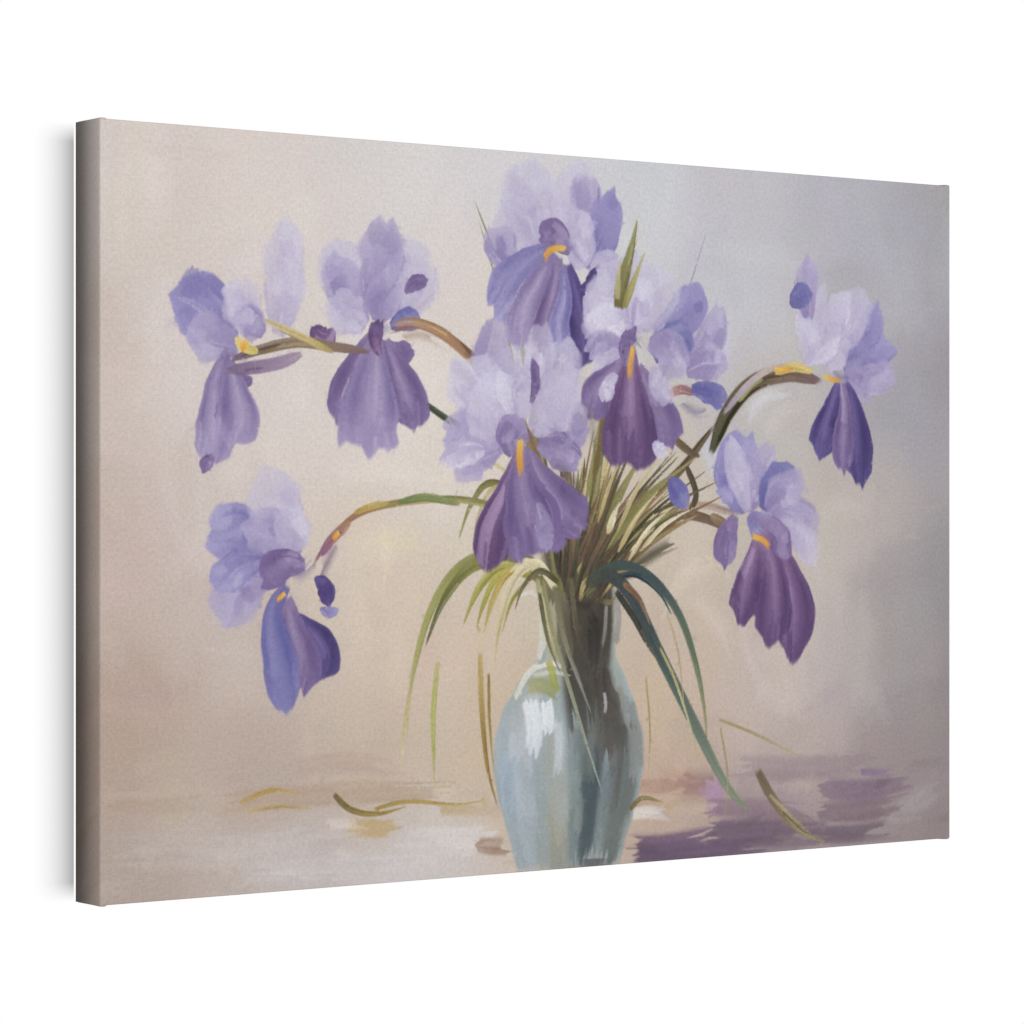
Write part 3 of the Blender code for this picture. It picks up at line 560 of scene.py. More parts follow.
BACK_LEAVES = [
    ([(73, 44), (69, 66), (65.2, 80), (58.6, 94)], 0.75, "6F7048 7E7E52 8A8A5E 8F9068"),
    ([(72, 45), (66, 70), (62.8, 82), (59.6, 91)], 0.45, OLIVE),
    ([(79, 45), (83, 70), (85.2, 82), (88.6, 90)], 1, OLIVE),
    ([(79, 45), (83.5, 74), (86.6, 84), (88.2, 93.5)], 0.5, BRONZE),
    ([(80, 45), (85, 68), (87.6, 78), (88.4, 84)], 0.6, STRAW),
    ([(90, 62), (96, 78), (98.4, 84), (101.2, 91)], 0.35, "8B8A99 9795A6 A3A1B2"),
    ([(76, 42), (70, 54), (64, 60), (56, 62), (46, 67.6)], 0.9,
     "6A6844 7B7850 5D6148 47504E", (1, 1, 0.9, 0.8, 0.6, 0.3)),
    ([(75, 42), (70, 52), (62, 57), (57, 60), (54, 64)], 0.5, STRAW),
    ([(68, 52), (62, 54), (58.6, 51), (56.4, 46)], 0.6, OLIVE, LONG),
    ([(66, 54), (62, 53), (60, 50), (58.8, 47)], 0.4, STRAW, LONG),
]

STEMS = [
    ([(76, 42), (70, 58), (62, 68), (56, 73), (50, 75.4), (44, 74)], 0.95,
     "6F6846 7C6E4C A07E58 A88468 8C6A6E"),
    ([(58, 71.6), (54, 74.4), (49, 75.8), (45, 75.2)], 0.7, "9A7A66 B08A62 B4926C A08AA0"),
    ([(42, 71.5), (36, 72), (30, 72.4), (24, 71.2), (19, 69.6)], 0.8, "7E6A70 8C7668 847456 7E6C58 74606A"),
    ([(36, 71.2), (30, 73.4), (26.6, 74.6), (24.2, 75.4)], 0.6, "A08E60 C6B27A D2C08C BCB0A0"),
    ([(24, 71), (21.4, 71.6), (20.4, 73)], 0.7, "CDB870 DCC878 D8C688"),
    ([(31, 71), (27, 69.6), (22, 68.8), (18.6, 68.4)], 1, "A896A4 9A86A0 8C7894 7E6A88"),
    ([(74, 42), (68, 49), (58, 51.6), (48, 51.4), (40, 49.8), (35, 46), (31.5, 41.5)], 0.55,
     "757044 868050 8E8C5A 77804E A08A58 A06E5E 7E5C70"),
    ([(46, 51.2), (51, 52), (57, 51)], 0.6, "6C7A4A 7E8A5C 8E8E62"),
    ([(39, 49.8), (42, 50.8), (45, 51.2)], 0.5, "B49A58 C0A868 A89A5E"),
    ([(38.6, 48.8), (35.6, 46.4), (33.6, 44)], 0.8, "A88868 9C7078 866080"),
    ([(79, 42), (86, 47), (94, 49.6), (101, 49), (106.5, 46.6)], 0.9, "5C523E 6E6048 7A6A4E 74604E 6A5350"),
    ([(92, 50), (100, 51), (106, 50), (110, 50.4)], 0.6, "A08A6C B49A80 A6968E 9A90A8"),
    ([(79, 42), (88, 50), (96, 56), (100, 60), (103, 63)], 0.8, "5C523E 6A5E46 74664C 6E5E4A 645848"),
    ([(101.6, 58), (105, 64.4), (110, 68.8), (117, 70.4), (124, 69.2)], 1.5,
     "4C4C3C 5A5640 6A5C46 6A564A 7C6468"),
    ([(107, 66), (109.6, 68.6), (112, 69.6)], 0.6, "8C9060 A0A070 8A8A60"),
    ([(104, 64), (109, 68.6), (114, 71.2), (120, 71.6)], 0.6, "A796A8 B0A2AE C0B0A0 B8A6B0"),
    ([(114, 70.4), (118, 71.4), (122, 70.8)], 0.8, "C4AC68 D6C07C D0B878"),
    ([(92.4, 64), (95, 60.6), (98, 58.6), (100, 58)], 0.7, "8A6F58 74624A 665640 5C4E42"),
    ([(97, 57), (99, 52.6), (97.5, 49.6)], 0.6, "5C4E42 4F463C 5C5242"),
    ([(92, 66), (96, 67.6), (99, 67)], 0.8, "B89494 B08888 8A6C78"),
    ([(106, 47.4), (103.8, 48.6), (101.6, 49.6)], 0.8, "6A5448 7C6650 8C7A5C"),
]

SPATHE = [
    ([(84.6, 78.6), (85.2, 82), (86.8, 87), (88.2, 92)], 1.3, "6A6442 7E7A50 8E8C60 9C9A70"),
    ([(85.6, 78.8), (87, 82), (89.6, 87.4)], 0.7, "8A8452 A8A06A B4AE84"),
    ([(84.4, 80), (84.6, 83.4), (85.2, 86.4)], 0.6, "A8A070 B8B088 C0BC9C"),
]

FRONT_LEAVES = [
    ([(74, 40), (68, 43.6), (62, 44.2), (56, 42), (51.5, 36), (48.6, 27), (47.6, 17)], 0.8,
     "5F5E40 7A7848 8C8A52 9A9A5C A3A266 B5AE86 C4B8A0"),
    ([(72, 40), (66, 43), (59, 42.6), (54, 38), (50.5, 31)], 1.1, "6A6844 7C7A4A 8A8850 66663F 5E6044"),
    ([(70, 41), (64, 42.4), (60, 39.6), (57, 34)], 0.9, "8F8C54 A5A05E B0AC68 9C9A5A"),
    ([(67, 42), (63, 41), (60.6, 37), (59.4, 33.6)], 0.6, "A39A50 B8B060 A8A65C A8A068"),
    ([(69, 42), (65, 41.6), (62.4, 38), (60.6, 33)], 0.7, "B49C58 C2AC68 B8A868 A8A060"),
    ([(60.2, 31), (60.4, 24), (61.4, 15), (63.4, 8.6)], 0.55, "C2AC7C A8905A 967E4C 8A7446"),
    ([(61.6, 28), (61.8, 21), (62.6, 13)], 0.3, "8C7446 A48C58 C0AC80"),
    ([(53, 30), (52.2, 22), (52.4, 12)], 0.5, "C2BA90 A8A860 9CA05C B8B088"),
    ([(48.4, 26), (47.2, 20), (46.8, 15)], 0.4, "B8AC80 C2B890 C8BCA0"),
    ([(73.5, 39), (70, 42.8), (66, 40.6), (63.4, 34), (62.6, 28)], 0.8,
     "D2C9A4 E0D8BC D8CDAC C6B88E C9BA98"),
    ([(71, 41.5), (68, 43), (65, 41.6)], 0.8, "C9BE94 DDD4B4 D0C49C"),
    ([(68.6, 40.6), (65.6, 37.6), (63.8, 33)], 0.4, "8C8450 A49C60 B0A878"),
    ([(74, 40), (70.6, 41.8), (67.6, 39.6), (66, 36)], 0.5, "4C4838 5E5840 746C4C 8C8460"),
    ([(71, 41), (72.6, 34), (75.2, 27), (78.6, 18), (82, 9.6)], 0.42, "8C8660 9A9472 8F9482 9FA79A A9B2A8"),
    ([(70, 41), (71.6, 34.4), (74.2, 28)], 0.5, "A8A27C B4AE88 A9A684"),
    ([(73, 40), (74.6, 33), (77.6, 26), (80, 21)], 0.5, "716C50 7E7A62 85857A 7D8482"),
    ([(70.4, 39), (72, 32), (74.4, 27)], 0.4, "5C583E 6E6A4C 827E60"),
    ([(76, 41), (77, 34), (79, 28)], 0.5, "6B6450 5A5444 4D4840"),
    ([(78, 40), (84, 42.4), (90, 41), (95.6, 35.6), (99, 28), (100.8, 20), (101, 13)], 0.8,
     "4C4E40 43504E 3F4C50 56665A 5E6E52 8C8F62 A8A286"),
    ([(84, 40.8), (88, 41), (92, 38.6), (94.6, 35)], 0.5, "3A444C 36424C 3E4C4E 4C5C54"),
    ([(78, 39), (82.5, 41), (87, 38), (92, 30), (99, 19), (105, 10), (111, 5)], 1.15,
     "4A4A40 3C4448 3E4A4C 55645C 67776C 7C8874 8C8C78", (0.8, 1, 1, 0.95, 0.9, 0.7, 0.2)),
    ([(84, 39), (87.4, 35), (90, 31), (92, 28.6)], 0.6, "3E3C36 3A3A36 4C4A42 67645A"),
    ([(85.4, 40), (88.4, 37.6), (90.6, 33.6)], 0.5, "8A6A54 77604E 8C7862"),
    ([(92, 31), (95, 26), (98, 19), (99.4, 14)], 0.25, "A9A274 B5AC84 B0A888"),
    ([(93.4, 36), (95.6, 30), (96.8, 22)], 0.2, "B8A88C B0A080 B8A890"),
    ([(89.6, 27), (90.4, 19), (90, 11)], 0.2, "B4A07C A8946C B4A282"),
    ([(103, 20), (109, 18), (115, 15.6), (122, 12.6)], 0.26, "A39870 A8A07C B0A88E"),
    ([(103.6, 19), (105, 12), (104.6, 6)], 0.22, "A69C78 9C9478 94907C"),
    ([(110.6, 12.4), (114, 7.6), (119, 3), (125, 0.6)], 0.9, "6E5F50 7C6C56 8C8062 A09878"),
    ([(113, 8.6), (117, 5.4), (121, 2.6)], 0.35, "9A8E6E A89E80 988E74"),
    ([(35.6, 12.6), (38.6, 10.2), (43, 9.4), (48, 10.2)], 0.5, "6E6244 8A7848 A08A50 B49C64"),
    ([(42, 10), (48, 10.8), (56, 10), (62, 10.4)], 0.35, "A08A50 B49E6A C2B080"),
    ([(21, 12), (26, 13.4), (31, 12.6)], 0.4, "B89E70 AC9058 BCA678"),
    ([(22, 10.8), (27, 11.2), (33, 10.6)], 0.3, "C2AC84 B0986C C0AC88"),
    ([(86.6, 7.6), (89, 9.2), (93, 8.4)], 0.4, "6E6648 857A54 9C8C66"),
]


def leaves(board, items, seed, profile):
    """Leaves or stems, one over the other. An item may bring a profile of its own."""
    for number, (line, width, codes, *own) in enumerate(items):
        leaf(board, line, width, codes, seed + number, own[0] if own else profile)


HOLLOWS = [  # the dark between the stems
    ([(75, 38), (76.4, 43), (77.6, 50)], 3.8), ([(80, 40), (85, 45), (90, 49)], 2.8),
    ([(79, 40), (82, 47), (85, 53)], 2.6), ([(73, 40), (72, 44), (71, 48)], 2),
    ([(84, 40), (91, 44), (98, 46.4)], 1.6),
]


MOUTH = [  # the shade at the jar's mouth
    ([(75.4, 38), (79, 37), (83.4, 38)], 1.5), ([(76, 36), (76.8, 40), (77, 44)], 1.3),
    ([(81, 36), (82, 40), (84, 43)], 1.2),
]


def sheaf(board):
    """Stems and blades that fan out of the jar's mouth, most of them to the right."""
    rng = np.random.default_rng(44)
    kinds = [OLIVE, SHADE, MOSS, BRONZE, UMBER, SHADE, MOSS, STRAW, UMBER, OLIVE]
    for number, (line, width) in enumerate(HOLLOWS):
        dab(board, line, width, "3E3930 4A4436 6B5F4A", 380 + number, 0.8, 0.06, 0.5, 0.5)
    for number in range(120):
        share, late = rng.uniform(0, 1), number / 120
        angle = math.radians(-14 + 76 * share + rng.normal(0, 5))
        reach = rng.uniform(9, 25) * (1.0 if share < 0.75 else 1.15)
        kind = kinds[rng.integers(len(kinds))]
        head = np.array([math.sin(angle), math.cos(angle)])
        foot = np.array([74.4 + 6.4 * share + rng.normal(0, 0.7), 39 + rng.uniform(-2, 3)])
        if number > 84:
            kind = SHADE if number % 2 else UMBER
        if number > 108:
            kind = STRAW if number % 3 else CREAM
            foot, reach = foot + head * 8, reach * 0.6
        bow = np.array([-0.08, 0.08]) * reach * (share - 0.3)
        leaf(board, [foot, foot + head * reach * 0.5 + bow, foot + head * reach],
             rng.uniform(0.45, 1.4) * (1.1 - 0.6 * late), kind, 400 + number,
             (0.3, 1.0, 0.95, 0.7, 0.3, 0.05), strands=3, bristle=0.05)
    for number, (line, width) in enumerate(MOUTH):
        dab(board, line, width, "4A4236 3A352D 463F34", 370 + number, 0.8, 0.08, 0.5, 0.6)


# the flowers, each petal given as kind, tone, half width and middle line from root to rim
BLOOMS = {
    "outer left": [
        ("standard", "haze", 3.6, [(27, 73), (28, 80), (28.2, 89)]),
        ("side", "blue", 4.8, [(20, 72), (15.6, 76), (10.6, 78)]),
        ("side", "lilac", 3.6, [(21, 71.4), (16.6, 72.6), (13, 72.4)]),
        ("standard", "haze", 3.4, [(22.6, 73), (21.4, 77), (21, 81.4)]),
        ("side", "lilac", 2.4, [(24.8, 73.2), (22.6, 75), (20, 75.6)]),
        ("bud", "violet", 1.1, [(20.4, 67), (22.2, 67.2), (23, 67.6)]),
        ("bud", "plum", 1.7, [(36, 74.4), (34.4, 73), (32, 74.6)]),
        ("fall", "mauve", 3.2, [(19, 70.8), (17.6, 66.6), (17.4, 61), (15.8, 55.4)]),
        ("fall", "mauve", 3.6, [(19.2, 70), (20.2, 65.6), (20.6, 62), (19.4, 58.4)]),
        ("side", "violet", 1, [(17, 57.4), (16, 56.4), (15, 55.2)]),
    ],
    "left": [
        ("standard", "haze", 4.2, [(40, 76), (37.4, 81), (36, 87)]),
        ("side", "haze", 3.4, [(45, 76), (49.6, 79.8), (52.6, 83)]),
        ("standard", "haze", 4.4, [(46, 77), (48, 83), (49, 88)]),
        ("standard", "lilac", 3.8, [(42, 77), (43.4, 84), (44.6, 90)]),
        ("side", "lilac", 3.6, [(41, 75), (38, 79), (36, 84.6)]),
        ("side", "haze", 3.4, [(41, 74.6), (38, 76.6), (35.6, 79)]),
        ("side", "lilac", 3.4, [(43, 75.4), (44, 79), (46.6, 81.4)]),
        ("side", "azure", 1.7, [(45, 75), (47.6, 76), (50, 75.6)]),
        ("bud", "violet", 1.2, [(47.4, 79.6), (49.2, 81), (51.6, 81.6)]),
        ("side", "violet", 1.8, [(44, 72.6), (46.4, 71.6), (49, 72.4)]),
        ("fall", "violet", 2.8, [(42, 74), (39.8, 70.4), (37.8, 66.4), (36.2, 61.6)]),
        ("fall", "violet", 3.4, [(44, 73.4), (46.2, 69.4), (48.2, 65.4), (49, 60.6)]),
        ("skirt", "mauve", 5.4, [(42.8, 74.6), (42.2, 70), (41.6, 64), (41.6, 57.4)]),
        ("side", "plum", 1.3, [(43.4, 71), (42.6, 73.4), (43.6, 76)]),
    ],
    "lower left": [
        ("side", "blue", 4.2, [(27, 43.6), (21.6, 46.6), (16, 46.6)]),
        ("standard", "haze", 4.4, [(30, 45), (27, 50), (24.4, 55.6)]),
        ("side", "lilac", 4.2, [(26, 42.6), (21, 40), (18.6, 35)]),
        ("side", "blue", 2.6, [(26, 43.6), (21, 43), (17, 39.6)]),
        ("side", "lilac", 3.8, [(31, 45), (26, 47), (21.6, 48.6)]),
        ("standard", "haze", 3.2, [(31, 45), (29.4, 48), (29.8, 51)]),
        ("side", "violet", 2.6, [(31.4, 43), (27.6, 43), (24, 40.6)]),
        ("bud", "blue", 0.9, [(33.6, 37.2), (35.2, 36.6), (36.8, 37)]),
        ("fall", "night", 3, [(29.4, 36.4), (32, 34.2), (34.2, 31.4), (33, 27.4)]),
        ("fall", "violet", 3.2, [(28.4, 39), (29.4, 34.6), (31, 30.6), (30.4, 25.6)]),
        ("fall", "azure", 2.9, [(28.6, 40.6), (26.2, 36.6), (27.2, 30), (28.4, 22.6)]),
        ("bud", "night", 1.5, [(32.8, 41.4), (34.4, 40), (35.2, 37.2)]),
    ],
    "top": [
        ("standard", "haze", 5, [(71, 87), (69, 93), (68.4, 99.5)]),
        ("standard", "haze", 3.6, [(70, 86), (66.6, 89), (63.8, 93)]),
        ("side", "lilac", 3, [(66, 84), (63.8, 86.6), (63, 90)]),
        ("standard", "haze", 4.6, [(75, 87), (76.4, 93), (76.6, 99.4)]),
        ("standard", "lilac", 3.4, [(76.6, 86), (78.6, 92), (78.6, 98)]),
        ("side", "blue", 3.2, [(79, 84), (81.8, 89.6), (83.8, 95.6)]),
        ("standard", "haze", 3.4, [(76.6, 84), (77.6, 87.6), (76, 93)]),
        ("side", "pale", 2.4, [(79.6, 81.6), (82, 84.6), (84.4, 86.4)]),
        ("side", "violet", 2.3, [(76, 86.4), (73, 88.8), (70.4, 88.4)]),
        ("side", "pale", 1.3, [(75.6, 88), (77.6, 87.6), (78.4, 85)]),
        ("fall", "night", 3, [(75.4, 85), (77, 80), (77.8, 75), (76.4, 69.4)]),
        ("fall", "blue", 4.2, [(73, 87), (69, 84.6), (65.6, 80.8), (62.6, 76.6)]),
        ("fall", "mauve", 3.4, [(73.4, 86.4), (70.4, 81.6), (68, 77), (67.4, 72)]),
        ("fall", "violet", 2.8, [(74, 86), (73.2, 81), (71.8, 75.6), (72.4, 69.6)]),
        ("fall", "blue", 2, [(74.6, 85), (75, 80), (74, 76), (74.4, 71.4)]),
        ("bud", "night", 1, [(77.4, 81.4), (79.2, 82), (80.6, 84.6)]),
        ("side", "pale", 1.6, [(78.6, 80.6), (79.6, 77), (78.6, 74.4)]),
    ],
    "right": [
        ("side", "haze", 4, [(97, 70.6), (101, 73), (104.8, 77.6)]),
        ("side", "lilac", 3, [(98, 71), (102, 76), (103.6, 80)]),
        ("side", "blue", 3.6, [(91, 75.4), (96.4, 78), (99, 83.4)]),
        ("side", "azure", 3, [(91, 72), (94.6, 74), (98, 77)]),
        ("standard", "haze", 4.2, [(85, 77), (86.6, 82), (89.4, 87)]),
        ("side", "haze", 3.4, [(81, 76), (81.4, 79), (83.6, 83.4)]),
        ("standard", "haze", 4.8, [(87, 76), (91, 80.4), (95.6, 83)]),
        ("standard", "pale", 3.4, [(87, 76), (87.6, 80), (90.6, 83)]),
        ("side", "pale", 3.2, [(87, 75), (83, 77), (78.4, 76.2)]),
        ("side", "lilac", 2.6, [(86, 73), (82, 73.6), (78.6, 72)]),
        ("side", "lilac", 3, [(97, 70), (100.6, 71.6), (105, 71.6)]),
        ("side", "azure", 1.9, [(98, 67.8), (101, 67.4), (105, 66)]),
        ("side", "pale", 2.2, [(84.8, 73), (82.6, 71), (80, 69.6)]),
        ("fall", "violet", 3.4, [(86, 71.6), (83.4, 69), (81, 66), (79.8, 62.6)]),
        ("fall", "violet", 3.4, [(88, 71), (90.6, 67), (92.8, 63), (94, 58.4)]),
        ("skirt", "plum", 5.2, [(87, 74), (86.8, 69), (86.8, 62.6), (86.4, 55.4)]),
        ("side", "lilac", 3.4, [(90, 74), (93.4, 73.4), (96.8, 70)]),
        ("side", "haze", 2, [(91, 71), (92, 68), (94.8, 65.6)]),
        ("side", "pale", 1.5, [(84.4, 69.6), (82.8, 68), (82, 65.4)]),
        ("side", "violet", 1.4, [(86, 70.6), (86, 73.6), (87.6, 76.4)]),
        ("side", "pale", 1.2, [(91, 60), (92.4, 58.8), (93.6, 59)]),
    ],
    "lower right": [
        ("standard", "blue", 4.2, [(107, 50), (106.6, 56), (109, 62)]),
        ("standard", "lilac", 3.4, [(109, 50), (110.8, 55), (113.4, 60)]),
        ("side", "azure", 3.6, [(112, 50), (114.4, 53.4), (117.4, 57)]),
        ("side", "lilac", 4.2, [(113, 49.6), (118, 49), (122.4, 45)]),
        ("side", "lilac", 3.8, [(112.6, 50), (116.6, 53), (120, 52.6)]),
        ("side", "haze", 2.4, [(116, 49), (120, 46), (122.4, 41.6)]),
        ("side", "blue", 2.6, [(108.6, 50), (106, 53), (102.8, 53.6)]),
        ("side", "haze", 2.4, [(109, 50), (107, 55), (105.6, 61)]),
        ("side", "blue", 2.4, [(109, 49.6), (112, 47.6), (113.4, 49.6)]),
        ("side", "violet", 2.2, [(106.6, 49.6), (104.6, 45.6), (104.4, 41.6)]),
        ("fall", "plum", 3.2, [(111, 47), (110, 42.4), (108.8, 38), (107.6, 33.4)]),
        ("fall", "plum", 3.8, [(112.4, 46.6), (116.4, 41.6), (118.4, 35.6), (117.8, 27.6)]),
        ("fall", "plum", 3.8, [(111.6, 47.4), (113.8, 42), (114.2, 36), (113.4, 29.6)]),
        ("side", "violet", 2, [(111, 49), (114.4, 47.4), (117, 43)]),
    ],
    "outer right": [
        ("side", "blue", 3.6, [(127.6, 71.4), (133, 73.6), (138.6, 75)]),
        ("side", "blue", 3, [(128, 73), (132.6, 77.6), (135, 81.6)]),
        ("side", "lilac", 2.6, [(129, 70), (134, 70), (139.4, 71.4)]),
        ("standard", "haze", 3.6, [(126.6, 74), (129.8, 79), (131.6, 84.4)]),
        ("standard", "pale", 2.8, [(126, 74), (126.8, 79), (128.6, 83)]),
        ("standard", "haze", 3.2, [(122.8, 72.6), (121.6, 79), (123.8, 84)]),
        ("standard", "lilac", 2.4, [(121, 78), (120.4, 83), (121, 88)]),
        ("bud", "azure", 2.1, [(117.2, 80.4), (119.4, 82), (121.8, 82.4)]),
        ("standard", "haze", 3, [(123, 72), (121, 76), (118.6, 77.6)]),
        ("side", "haze", 2.8, [(124, 71.4), (126.4, 73.8), (127, 76.8)]),
        ("side", "pale", 1.4, [(119.6, 72), (124, 73.6), (127, 76)]),
        ("side", "lilac", 2.6, [(128, 71), (131, 69.6), (134, 67)]),
        ("fall", "night", 3, [(127, 69.6), (125.8, 66), (124.2, 62), (123, 57.8)]),
        ("fall", "night", 2.8, [(128, 69.6), (130, 66), (131, 60), (131.2, 53.4)]),
        ("fall", "violet", 2.2, [(127.6, 69.6), (128.2, 65), (127.8, 60), (128, 55.4)]),
    ],
    "front": [
        ("side", "lilac", 4, [(70, 61), (75, 62.4), (79.6, 62)]),
        ("side", "mauve", 3, [(70, 59.6), (74.6, 58.6), (78.4, 56.8)]),
        ("standard", "haze", 3.6, [(72.4, 62), (74.6, 68), (75.4, 75)]),
        ("standard", "lilac", 3.6, [(66, 62), (62.6, 70), (63.4, 78)]),
        ("standard", "haze", 3, [(70, 66), (70.6, 71), (71, 76.4)]),
        ("standard", "haze", 4.2, [(66.6, 62), (66.6, 68), (68, 73.4)]),
        ("side", "haze", 4, [(69, 61), (73, 65), (76.4, 69.4)]),
        ("side", "pale", 5.2, [(65, 61), (60.4, 66), (56, 71)]),
        ("side", "lilac", 3.8, [(64.4, 60.4), (58.6, 60.6), (53.6, 59.6)]),
        ("side", "lilac", 3.2, [(64, 59), (59.6, 57.8), (55.4, 54.6)]),
        ("side", "pale", 2.2, [(61, 58.4), (56.6, 58), (53.6, 56.8)]),
        ("side", "pale", 4.2, [(66, 61), (63, 65.4), (61.4, 70)]),
        ("side", "haze", 3.4, [(63, 60), (60.6, 63.4), (58.4, 65)]),
        ("side", "pale", 2, [(66, 67), (69, 69.6), (70, 73)]),
        ("side", "mauve", 2.8, [(66, 57.6), (65.6, 60.4), (68, 63)]),
        ("side", "violet", 0.9, [(69, 65), (69.8, 68), (69.4, 71.4)]),
        ("fall", "plum", 3.4, [(67.2, 58.8), (65.2, 53.4), (62.4, 47.4), (61.4, 41)]),
        ("fall", "violet", 3.8, [(68, 58.8), (71.2, 54), (75, 50.2), (79.6, 47.6)]),
        ("skirt", "violet", 5.8, [(67.6, 59.6), (67.6, 54), (69.2, 48.6), (70.4, 43)]),
        ("side", "mauve", 1.5, [(70.2, 51.4), (71.4, 47.8), (71.8, 44.2)]),
    ],
}

BEARDS = [  # the tongues of yellow and orange at the flowers' throats
    ([(22.2, 72.6), (21.2, 71)], 0.7), ([(28.2, 39.4), (26.6, 38.2)], 0.5),
    ([(75.4, 87), (72.4, 86.6), (71, 84.6)], 0.7), ([(67.2, 60.4), (67, 57.4), (67.4, 54.6)], 0.85),
    ([(87.4, 74), (86.8, 71), (86.6, 68.4)], 0.65), ([(109.4, 46.6), (112, 45.8), (113.4, 44.4)], 0.7),
    ([(123.6, 70.2), (126.4, 69.6), (128, 69.4)], 0.5), ([(36.8, 47.4), (35.6, 46.2)], 0.6),
    ([(113.6, 71), (118, 71)], 0.5),
]


HEARTS = [  # line, width, colours: the shadows at the flowers' hearts
    ([(66, 61), (67.8, 60), (70, 61.6)], 1.9, "7E6C92 6F6188 8A789C"),
    ([(72, 62), (75, 60), (77.6, 58)], 1.6, "7F739C 8E83AC"),
    ([(85, 73.6), (87, 74.6), (89.4, 73)], 1.6, "7A6A92 6E5F88 8676A0"),
    ([(91, 66), (93, 63), (95.4, 60)], 1.7, "6A5C7C 8074A0"),
    ([(96, 66), (99, 64.4), (102, 65)], 1.3, "5F5876 756C96"),
    ([(76.6, 79), (78, 75), (78.6, 71)], 1.5, "6C5E8C 554A76"),
    ([(74, 88.6), (76.4, 87), (78.6, 84)], 1, "8E84B4 7A70A6"),
    ([(109, 50), (111.4, 48.4), (114, 48)], 1.3, "75648C 8A7AA4"),
    ([(125.6, 71.4), (127.4, 70), (129.6, 70.4)], 1, "75689A 6A5C8C"),
    ([(28.6, 43.4), (30.4, 41.6), (33, 43.6)], 1.4, "7A6C96 6A5D88"),
    ([(41.4, 75.4), (43.6, 74.4), (46, 76)], 1.2, "7A6C9A 8D80AE"),
    ([(18, 71.4), (20, 70.4), (23, 70)], 0.9, "6D5F82 85779C"),
    ([(46, 73.2), (50, 74), (55, 72.6)], 1.1, "9A7A66 A0826A 7E6A6E"),
    ([(36.4, 46), (35, 43.6), (33.4, 41)], 1.2, "6E587A 5A4870 4A3D66"),
    ([(79, 66), (80, 62), (80.6, 57)], 1.4, "6E6478 7C7468 5E584A"),
    ([(73, 57), (76, 55), (78, 52)], 1.3, "6F6480 5A5348"),
]


def blooms(board, *names):
    """Flowers, petal by petal from the back forward. The misty ones are laid thinner."""
    for name in names:
        for number, (kind, tone, width, line) in enumerate(BLOOMS[name]):
            seed = sum(map(ord, name)) * 20 + number
            petal(board, kind, tone, width, line, seed, 0.82 if tone == "haze" else 0.97)


def paint_picture():
    """A bunch of irises in a glazed jar on a pale table, from the wall forward."""
    board = Board()
    ground(board)
    for number, (line, width, codes, strength) in enumerate(WASHES):
        dab(board, line, width, codes, 800 + number, strength, 0.015, 0.4, 0.5)
    table_top(board)
    vase(board)
    leaves(board, BACK_LEAVES, 300, THIN)
    blooms(board, "outer left", "left", "lower left")
    leaves(board, STEMS, 340, EVEN)
    blooms(board, "lower right", "outer right")
    sheaf(board)
    blooms(board, "top", "right")
    petal(board, "bud", "azure", 2.0, [(94.0, 55), (95.6, 53), (97.4, 50.4)], 77)
    leaves(board, SPATHE, 360, THIN)
    leaves(board, FRONT_LEAVES, 500, LONG)
    blooms(board, "front")
    for number, (line, width, codes) in enumerate(HEARTS):
        dab(board, line, width, codes, 900 + number, 0.6, 0.05, 0.4, 0.7)
    for number, (line, width) in enumerate(BEARDS):
        dab(board, line, width * 1.5, "D9B070 CE9C58 C89058", 700 + number, 0.45, 0.05, 0.3, 0.5)
        dab(board, line, width * 0.8, "E8C468 DFA648 D2924C", 720 + number, 0.9, 0.06, 0.3, 0.25)
    return board


# ---------------------------------------------------------------- settings

def linear(code):
    """An sRGB hex colour as linear red, green and blue."""
    return [c / 12.92 if c <= 0.04045 else ((c + 0.055) / 1.055) ** 2.4 for c in rgb(code)]


def colour(name, description, code):
    """A colour setting with its default given as sRGB hex."""
    return FloatVectorProperty(name=name, description=description, subtype="COLOR", size=3, min=0, max=1,
                               default=linear(code))


def length(name, description, metres):
    """A length setting, in metres."""
    return FloatProperty(name=name, description=description, default=metres, min=0, unit="LENGTH",
                         precision=5)


class CanvasSettings(bpy.types.PropertyGroup):
    """The printed cloth."""

    print_points: IntProperty(name="Print points", description="Points that hold the colours of the print",
                              default=74000, min=5000, max=80000)
    thickness: length("Thickness", "Thickness of the primed cloth", 0.0005)
    edge_radius: length("Edge radius", "How tightly the cloth turns over the frame's edges", 0.0013)
    turn_over: length("Turn-over", "Width of the cloth that is folded onto the back", 0.028)
    print_on_back: length("Print on the back", "How far the print runs onto the back", 0.005)
    thread: length("Thread", "Spacing of the weave, about three times a real one so that it shows", 0.0019)
    # painted shade: the print round the sides is darkened towards the back, standing in for the shade the
    # sides fall into
    painted_shade_depth: FloatProperty(name="Edge shade", description="How dark the print runs out round the sides",
                              default=0.49, min=0, max=1, subtype="FACTOR")
    primer: colour("Primer", "The white primer beyond the print", "#E4E1D9")
    raw: colour("Raw cotton", "The unprimed back of the cloth", "#CFC4AC")


class WoodSettings(bpy.types.PropertyGroup):
    """The stretcher bars, the brace and the wedges."""

    pine_early: colour("Pine, early wood", "The pale wood between the rings", "#E2C597")
    pine_late: colour("Pine, late wood", "The darker lines of the rings", "#C08E55")
    pine_knot: colour("Knots", "The heart of a knot", "#7A4A26")
    ring: length("Ring width", "Spacing of the year rings", 0.0034)
    beech: colour("Beech", "The wedges", "#D3A97E")
    beech_fleck: colour("Beech flecks", "The small dark rays in the wedges", "#9C6C45")


